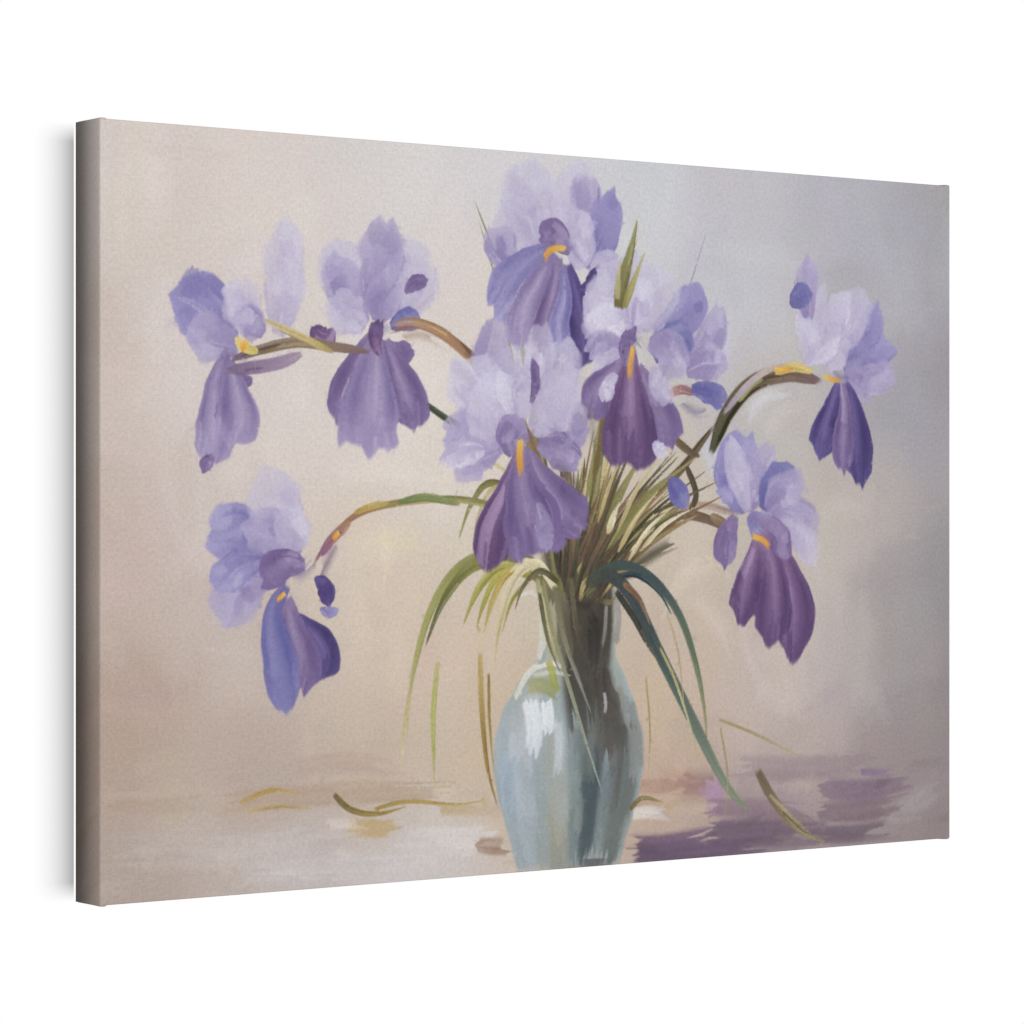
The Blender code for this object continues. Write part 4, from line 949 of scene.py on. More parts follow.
class MetalSettings(bpy.types.PropertyGroup):
    """The staples, the hanger and its screws, and the wall pads."""

    steel: colour("Staple steel", "Galvanised wire", "#B8BBBE")
    zinc: colour("Zinc plate", "Bright zinc on the hanger and its screws", "#C6C9CB")
    rubber: colour("Clear rubber", "The wall pads", "#DCDDD8")
    crown: length("Staple crown", "Width of a staple", 0.0106)
    wire: length("Staple wire", "Width of the flattened wire", 0.0012)
    wire_depth: length("Wire depth", "Thickness of the flattened wire", 0.0006)
    thread_pitch: length("Fray spacing", "Distance between the loose threads at the cut edge", 0.0028)
    thread_length: length("Fray length", "Length of the loose threads at the cut edge", 0.005)


class StageSettings(bpy.types.PropertyGroup):
    """The floor, the light and the camera."""

    floor: colour("Floor", "The floor under the picture", "#F2F1EE")
    floor_below: length("Floor below", "How far below the hanging point the floor lies", 1.25)
    floor_radius: length("Floor radius", "Radius of the floor", 2.2)
    shadow_width: length("Shadow width", "How far the soft shadow on the wall reaches", 0.042)
    shadow_depth: FloatProperty(name="Shadow depth", description="How dark the shadow on the wall is",
                                default=0.6)
    key_power: FloatProperty(name="Key light", description="Power of the large light", default=62,
                             unit="POWER")
    fill_power: FloatProperty(name="Fill light", description="Power of the light from the left", default=22,
                              unit="POWER")
    ambient: FloatProperty(name="Ambient", description="Strength of the light from all round", default=0.42)
    lens: FloatProperty(name="Lens", description="Focal length", default=120.4, unit="CAMERA")
    stand_off: FloatVectorProperty(name="Camera offset", subtype="XYZ", unit="LENGTH",
                                   description="From the middle of the picture's face to the camera",
                                   default=(-1.805, -2.303, 0))
    turn: FloatProperty(name="Camera turn", description="Turn of the camera about the upright",
                        subtype="ANGLE", default=math.radians(-37.2))


class PictureSettings(bpy.types.PropertyGroup):
    """All the settings of the picture."""

    canvas: PointerProperty(type=CanvasSettings)
    wood: PointerProperty(type=WoodSettings)
    metal: PointerProperty(type=MetalSettings)
    stage: PointerProperty(type=StageSettings)


# ---------------------------------------------------------------- helpers

def add(tree, kind, inputs=None, out=0, **settings):
    """Adds a node with its settings, values and links. Returns one output, or the node if out is None."""
    node = tree.nodes.new(kind)
    for key, value in settings.items():
        setattr(node, key, value)
    for key, value in (inputs or {}).items():
        if isinstance(value, bpy.types.NodeSocket):
            tree.links.new(value, node.inputs[key])
        else:
            node.inputs[key].default_value = value
    return node if out is None else node.outputs[out]


def finish_for(name, gloss):
    """A material with its shader's plain values set. Returns it with its tree and shader."""
    made = bpy.data.materials.new(name)
    made.use_nodes = True
    shader = made.node_tree.nodes["Principled BSDF"]
    for socket, value in gloss.items():
        shader.inputs[socket].default_value = value
    return made, made.node_tree, shader


def opaque(values):
    """A colour with full cover."""
    return (*values, 1.0)


def dress(name, made):
    """Gives a carried-over piece its finish."""
    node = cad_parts[name]
    node.data.materials.clear()
    node.data.materials.append(made)


def placed(name, mesh, made):
    """A finished piece in the scene, riding on the one body."""
    piece = bpy.data.objects.new(name, mesh)
    bpy.context.scene.collection.objects.link(piece)
    piece.data.materials.clear()
    piece.data.materials.append(made)
    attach(piece, "root")
    return piece


# ---------------------------------------------------------------- finishes

def cotton_finish(settings):
    """Cotton canvas, primed, printed and unvarnished: matt, with the weave just showing through the ink.

    The cloth's real thread spacing is about 0.6 mm; it is drawn coarser, as the setting says.
    """
    made, tree, shader = finish_for("cotton_canvas_printed", {"Roughness": 0.82, "Specular IOR Level": 0.22})
    cloth = add(tree, "ShaderNodeUVMap", uv_map="cloth")
    pitch = settings.thread
    threads = []
    for direction in ("X", "Y"):
        threads.append(add(tree, "ShaderNodeTexWave", {
            "Vector": cloth, "Scale": math.pi / (10 * pitch), "Distortion": 2.2, "Detail": 2.0,
            "Detail Scale": 1.3}, bands_direction=direction, out=1))
    weave = add(tree, "ShaderNodeMath", {0: threads[0], 1: threads[1]}, operation="MULTIPLY")
    slub = add(tree, "ShaderNodeTexNoise", {"Vector": cloth, "Scale": 0.62 / pitch, "Detail": 3.0,
                                            "Roughness": 0.7})
    soft = add(tree, "ShaderNodeTexNoise", {"Vector": cloth, "Scale": 9.0, "Detail": 2.0})
    grain = add(tree, "ShaderNodeMath", {0: slub, 1: 1.7}, operation="MULTIPLY")
    grain = add(tree, "ShaderNodeMath", {0: weave, 1: 0.32, 2: grain}, operation="MULTIPLY_ADD")
    light = add(tree, "ShaderNodeMapRange", {"Value": grain, 1: 0.45, 2: 1.5, 3: 0.86, 4: 1.13})
    cloud = add(tree, "ShaderNodeMapRange", {"Value": soft, 1: 0.3, 2: 0.7, 3: 0.98, 4: 1.02})
    light = add(tree, "ShaderNodeMath", {0: light, 1: cloud}, operation="MULTIPLY")
    ink = add(tree, "ShaderNodeAttribute", attribute_name="print", out="Color")
    inked = add(tree, "ShaderNodeHueSaturation", {"Value": light, "Color": ink})
    tree.links.new(inked, shader.inputs["Base Color"])
    bump = add(tree, "ShaderNodeBump", {"Height": grain, "Strength": 0.35, "Distance": 0.0004})
    tree.links.new(bump, shader.inputs["Normal"])
    return made


def thread_finish(settings):
    """Raw cotton thread, pulled loose where the cloth was cut: pale, matt and fuzzy."""
    made, tree, shader = finish_for("raw_cotton_thread", {"Roughness": 0.9, "Sheen Weight": 0.3})
    place = add(tree, "ShaderNodeTexCoord", out="Object")
    tone = add(tree, "ShaderNodeTexNoise", {"Vector": place, "Scale": 120.0, "Detail": 2.0})
    light = add(tree, "ShaderNodeMapRange", {"Value": tone, 1: 0.3, 2: 0.7, 3: 0.88, 4: 1.12})
    cotton = add(tree, "ShaderNodeHueSaturation", {"Value": light, "Color": opaque(settings.raw)})
    tree.links.new(cotton, shader.inputs["Base Color"])
    return made


def pine_finish(settings, along):
    """Planed pine, unfinished: pale early wood, darker ring lines along the bar, a knot here and there."""
    gloss = {"Roughness": 0.62, "Specular IOR Level": 0.35}
    made, tree, shader = finish_for(f"planed_pine_along_{along}", gloss)
    place = add(tree, "ShaderNodeTexCoord", out="Object")
    turn = (0, math.radians(90), 0) if along == "z" else (0, 0, 0)
    bar = add(tree, "ShaderNodeMapping", {"Vector": place, "Rotation": turn, "Location": (0.13, 0.055, 0.02)})
    stretched = add(tree, "ShaderNodeMapping", {"Vector": bar, "Scale": (0.07, 1, 1)})
    knot_room = add(tree, "ShaderNodeMapping", {"Vector": bar, "Scale": (4.0, 14.0, 14.0)})
    knot = add(tree, "ShaderNodeTexVoronoi", {"Vector": knot_room, "Scale": 1.0}, out="Distance")
    swirl = add(tree, "ShaderNodeMapRange", {"Value": knot, 1: 0.02, 2: 0.34, 3: 9.0, 4: 0.0},
                interpolation_type="SMOOTHSTEP")
    rings = add(tree, "ShaderNodeTexWave", {
        "Vector": stretched, "Scale": math.pi / (10 * settings.ring), "Distortion": 3.5, "Detail": 2.0,
        "Detail Scale": 0.35, "Phase Offset": swirl}, wave_type="RINGS", rings_direction="X",
        wave_profile="SAW", out=1)
    late = add(tree, "ShaderNodeMapRange", {"Value": rings, 1: 0.25, 2: 0.95, 3: 0.0, 4: 0.85},
               interpolation_type="SMOOTHSTEP")
    fibre = add(tree, "ShaderNodeTexNoise", {"Vector": stretched, "Scale": 900.0, "Detail": 3.0})
    tone = add(tree, "ShaderNodeTexNoise", {"Vector": stretched, "Scale": 35.0, "Detail": 2.0})
    early, dark = opaque(settings.pine_early), opaque(settings.pine_late)
    wood = add(tree, "ShaderNodeMix", {0: late, 6: early, 7: dark}, out=2, data_type="RGBA")
    heart = add(tree, "ShaderNodeMapRange", {"Value": knot, 1: 0.035, 2: 0.075, 3: 0.9, 4: 0.0},
                interpolation_type="SMOOTHSTEP")
    knotty = opaque(settings.pine_knot)
    wood = add(tree, "ShaderNodeMix", {0: heart, 6: wood, 7: knotty}, out=2, data_type="RGBA")
    streak = add(tree, "ShaderNodeMapRange", {"Value": fibre, 1: 0.3, 2: 0.7, 3: 0.90, 4: 1.08})
    patch = add(tree, "ShaderNodeMapRange", {"Value": tone, 1: 0.3, 2: 0.7, 3: 0.88, 4: 1.08})
    light = add(tree, "ShaderNodeMath", {0: streak, 1: patch}, operation="MULTIPLY")
    wood = add(tree, "ShaderNodeHueSaturation", {"Value": light, "Color": wood})
    tree.links.new(wood, shader.inputs["Base Color"])
    height = add(tree, "ShaderNodeMath", {0: late, 1: 0.4, 2: fibre}, operation="MULTIPLY_ADD")
    bump = add(tree, "ShaderNodeBump", {"Height": height, "Strength": 0.3, "Distance": 0.0003})
    tree.links.new(bump, shader.inputs["Normal"])
    return made


def beech_finish(settings):
    """Beech, sawn into wedges: pinkish tan with short dark rays, a little rougher than the bars."""
    made, tree, shader = finish_for("sawn_beech", {"Roughness": 0.66, "Specular IOR Level": 0.35})
    place = add(tree, "ShaderNodeTexCoord", out="Object")
    rays = add(tree, "ShaderNodeMapping", {"Vector": place, "Scale": (260, 900, 900)})
    fleck = add(tree, "ShaderNodeTexNoise", {"Vector": rays, "Scale": 1.0, "Detail": 2.0})
    share = add(tree, "ShaderNodeMapRange", {"Value": fleck, 1: 0.52, 2: 0.7, 3: 0.0, 4: 0.75})
    cloud = add(tree, "ShaderNodeTexNoise", {"Vector": place, "Scale": 90.0})
    light = add(tree, "ShaderNodeMapRange", {"Value": cloud, 1: 0.3, 2: 0.7, 3: 0.88, 4: 1.08})
    plain, flecked = opaque(settings.beech), opaque(settings.beech_fleck)
    wood = add(tree, "ShaderNodeMix", {0: share, 6: plain, 7: flecked}, out=2, data_type="RGBA")
    wood = add(tree, "ShaderNodeHueSaturation", {"Value": light, "Color": wood})
    tree.links.new(wood, shader.inputs["Base Color"])
    bump = add(tree, "ShaderNodeBump", {"Height": fleck, "Strength": 0.35, "Distance": 0.0003})
    tree.links.new(bump, shader.inputs["Normal"])
    return made


def steel_finish(settings):
    """Galvanised staple wire, drawn and cut: soft grey shine with fine lengthwise draw marks."""
    made, tree, shader = finish_for("galvanised_wire", {"Metallic": 1.0, "Roughness": 0.34})
    place = add(tree, "ShaderNodeTexCoord", out="Object")
    marks = add(tree, "ShaderNodeTexNoise", {"Vector": place, "Scale": 1400.0, "Detail": 2.0})
    light = add(tree, "ShaderNodeMapRange", {"Value": marks, 1: 0.3, 2: 0.7, 3: 0.82, 4: 1.1})
    metal = add(tree, "ShaderNodeHueSaturation", {"Value": light, "Color": opaque(settings.steel)})
    rough = add(tree, "ShaderNodeMapRange", {"Value": marks, 1: 0.3, 2: 0.7, 3: 0.26, 4: 0.44})
    tree.links.new(metal, shader.inputs["Base Color"])
    tree.links.new(rough, shader.inputs["Roughness"])
    return made


def zinc_finish(settings):
    """Bright zinc plate on stamped steel: a cool shine with faint spangle and cloudy patches."""
    made, tree, shader = finish_for("bright_zinc_plate", {"Metallic": 1.0, "Roughness": 0.3})
    place = add(tree, "ShaderNodeTexCoord", out="Object")
    spangle = add(tree, "ShaderNodeTexVoronoi", {"Vector": place, "Scale": 420.0}, out="Color")
    grey = add(tree, "ShaderNodeRGBToBW", {"Color": spangle})
    cloud = add(tree, "ShaderNodeTexNoise", {"Vector": place, "Scale": 160.0, "Detail": 3.0})
    tone = add(tree, "ShaderNodeMath", {0: grey, 1: 0.35, 2: cloud}, operation="MULTIPLY_ADD")
    light = add(tree, "ShaderNodeMapRange", {"Value": tone, 1: 0.4, 2: 0.95, 3: 0.84, 4: 1.08})
    metal = add(tree, "ShaderNodeHueSaturation", {"Value": light, "Color": opaque(settings.zinc)})
    rough = add(tree, "ShaderNodeMapRange", {"Value": tone, 1: 0.4, 2: 0.95, 3: 0.2, 4: 0.42})
    tree.links.new(metal, shader.inputs["Base Color"])
    tree.links.new(rough, shader.inputs["Roughness"])
    return made


def rubber_finish(settings):
    """Clear polyurethane rubber, moulded: a milky see-through dome with a soft shine."""
    gloss = {"Roughness": 0.28, "IOR": 1.5, "Transmission Weight": 0.45}
    made, tree, shader = finish_for("clear_rubber", gloss)
    place = add(tree, "ShaderNodeTexCoord", out="Object")
    haze = add(tree, "ShaderNodeTexNoise", {"Vector": place, "Scale": 260.0, "Detail": 2.0})
    light = add(tree, "ShaderNodeMapRange", {"Value": haze, 1: 0.3, 2: 0.7, 3: 0.9, 4: 1.04})
    milk = add(tree, "ShaderNodeHueSaturation", {"Value": light, "Color": opaque(settings.rubber)})
    tree.links.new(milk, shader.inputs["Base Color"])
    return made


# ---------------------------------------------------------------- the cloth

RIM_STEP = 0.75  # units between the points along the picture's edges
STAPLE_GAPS = {"rail": 0.040, "stile": 0.0425}  # spacing of all the staples, added ones too
PUCKER = 0.0005  # how far the turn-over lifts between two staples
STRAIGHT = 0.010  # the first stretch of the turn-over, which keeps its line
STRAY = 0.0009  # how far the cut edge strays from its line
LINING_STEP = 0.035  # between the points on the cloth's wrong side
FOLD_TOP, FOLD_FOOT = 0.0009, 0.00003  # heights of a folded corner's two faces
FOLD_IN = 0.0008  # from the picture's side to the start of a folded corner
FOLD_NARROW, FOLD_SPREAD = 0.004, 0.030  # its width at the front, and what it gains on the way back
BLEED = 10  # units of the picture that a folded corner may repeat
CUT_OUT = 0.0006  # how far beyond the cut edge the loose threads start
CUT_SHARE = 0.985  # how much of each cut edge carries them

# The sheet that colours are baked to: the front at its foot, above it the four sides in
# strips (bottom, right, top, left), and the wrong side, small, in a corner.
MARGIN, SPAN = 0.01, 0.98
STRIP_LONG = np.array([0.98, 0.653, 0.98, 0.653])
STRIP_UP = np.array([0.675, 0.915, 0.755, 0.835])
LINING_CORNER, LINING_SIZE = np.array([0.70, 0.835]), np.array([0.28, 0.10])


class Cloth:
    """The sizes of the wrapped cloth and the path that it follows over an edge."""

    def __init__(self, settings):
        self.half_wide = (CANVAS_HIGH.x - CANVAS_LOW.x) / 2
        self.half_high = (CANVAS_HIGH.z - CANVAS_LOW.z) / 2
        self.middle = (CANVAS_LOW.z + CANVAS_HIGH.z) / 2
        self.front, self.back = CANVAS_LOW.y, CANVAS_HIGH.y
        self.thick, self.radius = settings.thickness, settings.edge_radius
        self.turn_over, self.print_on_back = settings.turn_over, settings.print_on_back
        self.depth = self.back - self.front
        counts = [round(2 * half / UNIT / RIM_STEP) for half in (self.half_wide, self.half_high)] * 2
        self.side = np.repeat(np.arange(4), counts)  # 0 bottom, 1 right, 2 top, 3 left
        self.share = np.concatenate([np.arange(n) / n for n in counts])
        self.share_next = np.concatenate([(np.arange(n) + 1) / n for n in counts])

    def corners(self, inset):
        """The four corners, from the bottom left one, at a distance in from the sides."""
        x, z = self.half_wide - inset, self.half_high - inset
        return np.array([(-x, -z), (x, -z), (x, z), (-x, z)])

    def ring(self, inset):
        """Places round the picture, anticlockwise seen from the front, at a distance in from its sides."""
        corners = self.corners(inset)
        start, stop = corners[self.side], corners[(self.side + 1) % 4]
        return start + (stop - start) * self.share[:, None]

    def outside(self):
        """The path of the cloth's face to its cut edge, as distances in from the side and depths."""
        r, path = self.radius, []
        for step in range(1, 5):
            angle = math.radians(90 * step / 4)
            path.append((r * (1 - math.sin(angle)), self.front + r * (1 - math.cos(angle))))
        for step in range(1, 8):
            path.append((0.0, self.front + r + (self.depth - 2 * r) * step / 7))
        for step in range(1, 4):
            angle = math.radians(90 * step / 3)
            path.append((r * (1 - math.cos(angle)), self.back - r + r * math.sin(angle)))
        edge = self.print_on_back
        path += [(inset, self.back) for inset in (edge, edge + 0.0004, 0.012, 0.020, self.turn_over)]
        return path

    def inside(self):
        """The path back along the cloth's wrong side."""
        t = self.thick
        return [(self.turn_over, self.back - t), (self.turn_over / 2, self.back - t), (t, self.back - t),
                (t, (self.front + self.back) / 2), (t, self.front + t)]

    def pucker(self, places, inset):
        """How far the turn-over lifts between its staples."""
        along_rail = np.isin(self.side, (0, 2))
        gap = np.where(along_rail, STAPLE_GAPS["rail"], STAPLE_GAPS["stile"])
        run = np.where(along_rail, places[:, 0], places[:, 1])
        end = np.where(along_rail, self.half_wide, self.half_high) - np.abs(run)
        reach = ease((inset - self.radius) / 0.012) * ease((end - 0.030) / 0.02)
        return PUCKER * np.sin(math.pi * run / gap) ** 2 * reach


def triangles(points):
    """The triangles between flat points, all anticlockwise."""
    made = delaunay_2d_cdt([Vector(p) for p in points.tolist()], [], [], 0, 1e-7, False)
    if len(made[0]) != len(points):
        raise RuntimeError("two points of the print fell together")
    faces = np.array(made[2])
    a, b, c = (points[faces[:, k]] for k in range(3))
    turn = (b[:, 0] - a[:, 0]) * (c[:, 1] - a[:, 1]) - (b[:, 1] - a[:, 1]) * (c[:, 0] - a[:, 0])
    faces[turn < 0] = faces[turn < 0][:, ::-1]
    return faces, np.abs(turn) / 2


PROBES = np.array([(1, 1, 1), (4, 1, 1), (1, 4, 1), (1, 1, 4), (5, 5, 1), (5, 1, 5), (1, 5, 5)], float)
PROBES /= PROBES.sum(axis=1, keepdims=True)


def print_mesh(board, rim, budget):
    """Points over the face, packed where the colours turn, so that flat triangles carry the print."""
    x, y = np.meshgrid(np.arange(3.0, WIDE - 2, 3.0), np.arange(3.0, HIGH - 2, 3.0))
    points = np.vstack([rim, np.stack([x.ravel(), y.ravel()], axis=1)])
    while True:
        faces, areas = triangles(points)
        if len(points) >= budget:
            return points, faces
        held = board.at(points[:, 0], points[:, 1])[faces]
        corners = points[faces]
        worst, where = np.full(len(faces), -1.0), np.zeros((len(faces), 2))
        for probe in PROBES:
            place = np.einsum("k,fkc->fc", probe, corners)
            given = np.einsum("k,fkc->fc", probe, held)
            error = np.abs(board.at(place[:, 0], place[:, 1]) - given).max(axis=1)
            better = error > worst
            worst[better], where[better] = error[better], place[better]
        span = np.sqrt(areas)
        worst = np.where(span < 0.10, 0, worst * span ** 0.9)
        room = min(budget - len(points), int(len(points) * 0.8), int((worst > 0).sum()))
        chosen = np.argpartition(-worst, room - 1)[:room]
        points = np.vstack([points, where[chosen]])


def to_linear(paint):
    """sRGB shares as linear ones."""
    paint = np.clip(paint, 0, 1)
    return np.where(paint <= 0.04045, paint / 12.92, ((paint + 0.055) / 1.055) ** 2.4)


def painted_side_shade(settings, share):
    """Painted shade on the printed side: how light its print is drawn, from 0 at the rim of the front to 1
    where it turns to the back.
    """
    start = 0.07  # the side turns out of the light at once, then darkens slowly
    return 1 - start * min(8 * share, 1) - (settings.painted_shade_depth - start) * ease(min(share, 1.0)) ** 1.3


def canvas_mesh(settings, board):
    """The whole cloth as one closed thin shell, with its colours and its flat patterns."""
    cloth = Cloth(settings)
    edges = np.array([cloth.half_wide, cloth.half_high])
    scale = np.array([WIDE, HIGH]) / (2 * edges)
    rim = cloth.ring(cloth.radius)
    points, front_faces = print_mesh(board, (rim + edges) * scale, settings.print_points)
    flat = points / scale - edges
    rim_count = len(rim)

    def spots(places, depth):
        """Flat places on the cloth, set in the room at a depth."""
        x, z = places.T
        return np.stack([x, np.broadcast_to(depth, len(places)), z + cloth.middle], axis=1)

    def print_with_painted_shade(travel):
        """The print beyond the rim is the picture turned back on itself, darkened further round by painted
        shade.
        """
        places = (cloth.ring(cloth.radius + travel) + edges) * scale
        return to_linear(board.at(*places.T) * painted_side_shade(settings, travel / cloth.depth))

    blocks, inks = [spots(flat, cloth.front)], [to_linear(board.at(*points.T))]
    rows, travels = [np.arange(rim_count)], [0.0]
    before, travel, total = (cloth.radius, cloth.front), 0.0, len(flat)
    wave = wander(np.random.default_rng(8), np.linspace(0, 1, rim_count), 160)
    outside, inside = cloth.outside(), cloth.inside()
    for number, (inset, depth) in enumerate(outside + inside):
        travel += math.hypot(inset - before[0], depth - before[1])
        before = (inset, depth)
        places = cloth.ring(inset)
        at_back = depth > cloth.back - 1.5 * cloth.thick
        if at_back and inset > STRAIGHT:
            pull = STRAY * wave * (inset - STRAIGHT) / (cloth.turn_over - STRAIGHT)
            places = places - places / np.linalg.norm(places, axis=1, keepdims=True) * pull[:, None]
        blocks.append(spots(places, depth + (cloth.pucker(places, inset) if at_back else 0.0)))
        if number >= len(outside):
            inks.append(np.tile(settings.raw, (rim_count, 1)))
        elif inset > cloth.print_on_back:
            inks.append(np.tile(settings.primer, (rim_count, 1)))
        else:
            inks.append(print_with_painted_shade(travel))
        rows.append(np.arange(total, total + rim_count))
        travels.append(travel)
        total += rim_count
    last = cloth.ring(inside[-1][0])
    x, y = np.meshgrid(np.arange(-0.42, 0.43, LINING_STEP), np.arange(-0.28, 0.29, LINING_STEP))
    lining = np.vstack([last, np.stack([x.ravel(), y.ravel()], axis=1)])
    lining_faces, _ = triangles(lining)
    blocks.append(spots(lining[rim_count:], inside[-1][1]))
    inks.append(np.tile(settings.raw, (len(lining) - rim_count, 1)))
    lining_index = np.concatenate([rows[-1], np.arange(total, total + len(lining) - rim_count)])

    quads, sheets, patterns = [], [], []
    for k, (near, far) in enumerate(zip(rows, rows[1:])):
        quads.append(np.stack([near, far, np.roll(far, -1), np.roll(near, -1)], axis=1))
        sheet, pattern = [], []
        for travel, share in ((travels[k], cloth.share), (travels[k + 1], cloth.share),
                              (travels[k + 1], cloth.share_next), (travels[k], cloth.share_next)):
            if k >= len(outside):
                along = LINING_CORNER[0] + LINING_SIZE[0] * share
                up = 0.95 + 0.008 * cloth.side + 0.04 * (travel - 0.06)
            else:
                along = MARGIN + STRIP_LONG[cloth.side] * share
                up = STRIP_UP[cloth.side] + travel / UNIT * SPAN / WIDE
            sheet.append(np.stack([along, up], axis=1))
            corners = cloth.corners(-travel)
            start, stop = corners[cloth.side], corners[(cloth.side + 1) % 4]
            pattern.append(start + (stop - start) * share[:, None])
        sheets.append(np.stack(sheet, axis=1).reshape(-1, 2))
        patterns.append(np.stack(pattern, axis=1).reshape(-1, 2))
    front_corners = flat[front_faces].reshape(-1, 2)
    lining_corners = lining[lining_faces[:, ::-1]].reshape(-1, 2)
    sheets = [MARGIN + (front_corners + edges) / (2 * edges[0]) * SPAN, *sheets,
              LINING_CORNER + (lining_corners + edges) / (2 * edges) * LINING_SIZE]
    patterns = [front_corners, *patterns, lining_corners]

    faces = front_faces.tolist() + np.vstack(quads).tolist() + lining_index[lining_faces[:, ::-1]].tolist()
    mesh = bpy.data.meshes.new("printed_canvas")
    mesh.from_pydata(np.vstack(blocks).tolist(), [], faces)
    shades = np.vstack(inks)
    shades = np.hstack([shades, np.ones((len(shades), 1))])
    held = mesh.color_attributes.new("print", "FLOAT_COLOR", "POINT")
    held.data.foreach_set("color", shades.astype(np.float32).ravel())
    for name, layers in (("OFBake", sheets), ("cloth", patterns)):
        layer = mesh.uv_layers.new(name=name)
        layer.uv.foreach_set("vector", np.vstack(layers).astype(np.float32).ravel())
    return mesh, cloth


def fold_mesh(cloth, settings, board):
    """The folded cloth at the four corners: a doubled flap along each end of the top and bottom sides."""
    path = cloth.outside()
    across = [0.0, 0.03, 0.08, 0.25, 0.5, 0.75, 0.93, 0.98, 1.0]
    turn = 1.2 * cloth.radius  # the depth over which the flap turns onto the back
    bm = bmesh.new()
    ink = bm.verts.layers.float_color.new("print")
    for up, right in ((-1, -1), (-1, 1), (1, -1), (1, 1)):
        over, under = [], []
        travel, before = 0.0, (cloth.radius, cloth.front)
        for number, (inset, depth) in enumerate(path):
            travel += math.hypot(inset - before[0], depth - before[1])
            before = (inset, depth)
            bare = depth >= cloth.back - 1e-6 and inset > cloth.print_on_back
            turned = min(max((depth - (cloth.back - turn)) / turn, 0), 1)
            ends = min(number / 2, 1.0) * min(len(path) - 1 - number, 1.0)
            reach = FOLD_NARROW + FOLD_SPREAD * min(travel / cloth.depth, 1.0)
            # painted shade: the folded corners' print is darkened further round, as on the sides
            light = painted_side_shade(settings, travel / cloth.depth)
            py = min(travel / UNIT, BLEED) if up < 0 else HIGH - min(travel / UNIT, BLEED)
            for row, lift in ((over, FOLD_TOP), (under, FOLD_FOOT)):
                row.append([])
                for share in across:
                    height = lift * math.sqrt(max(0.0, 1 - (2 * share - 1) ** 8)) * ends
                    x = right * (cloth.half_wide - FOLD_IN - reach * share)
                    z = cloth.half_high - inset + height * (1 - turned)
                    vert = bm.verts.new((x, depth + height * turned, cloth.middle + up * z))
                    shade = to_linear(board.at((x + cloth.half_wide) / UNIT, py) * light)
                    shade = settings.raw if row is under else settings.primer if bare else shade
                    vert[ink] = (*shade, 1.0)
                    row[-1].append(vert)
        # every diagonal runs out of the nearest corner, so that no triangle lies flat on its twin
        for row in (over, under):
            for number, (a, b) in enumerate(zip(row, row[1:])):
                for k in range(len(across) - 1):
                    halves = ((a[k], a[k + 1], b[k]), (a[k + 1], b[k + 1], b[k]))
                    if (number < len(path) / 2) == (k < len(across) / 2):
                        halves = ((a[k], a[k + 1], b[k + 1]), (a[k], b[k + 1], b[k]))
                    for half in halves:
                        bm.faces.new(half)
    bmesh.ops.remove_doubles(bm, verts=bm.verts, dist=1e-6)
    bmesh.ops.recalc_face_normals(bm, faces=bm.faces)
    flat = bm.loops.layers.uv.new("cloth")
    for face in bm.faces:
        for loop in face.loops:
            place = loop.vert.co
            loop[flat].uv = (place.x, place.z + place.y)
    mesh = bpy.data.meshes.new("corner_folds")
    bm.to_mesh(mesh)
    bm.free()
    mesh.shade_smooth()
    return mesh


# ---------------------------------------------------------------- what repeats

def grown(name, mesh, tree, values, made):
    """Runs a tree of geometry nodes on a mesh once, and returns the result as a plain mesh."""
    seed = bpy.data.objects.new(name + "_seed", mesh)
    bpy.context.scene.collection.objects.link(seed)
    growth = seed.modifiers.new("growth", "NODES")
    growth.node_group = tree
    sockets = {item.name: item.identifier for item in tree.interface.items_tree
               if item.item_type == "SOCKET" and item.in_out == "INPUT"}
    for key, value in values.items():
        growth[sockets[key]] = value
    growth[sockets["Finish"]] = made
    result = bpy.data.meshes.new_from_object(seed.evaluated_get(bpy.context.evaluated_depsgraph_get()))
    result.name = name
    bpy.data.objects.remove(seed)
    return result


def new_tree(name, lengths):
    """A tree of geometry nodes with its named inputs. Returns it with its input and output nodes."""
    tree = bpy.data.node_groups.new(name, "GeometryNodeTree")
    tree.interface.new_socket("Geometry", in_out="INPUT", socket_type="NodeSocketGeometry")
    for key in lengths:
        tree.interface.new_socket(key, in_out="INPUT", socket_type="NodeSocketFloat")
    tree.interface.new_socket("Finish", in_out="INPUT", socket_type="NodeSocketMaterial")
    tree.interface.new_socket("Geometry", in_out="OUTPUT", socket_type="NodeSocketGeometry")
    return tree, add(tree, "NodeGroupInput", out=None), add(tree, "NodeGroupOutput", out=None)


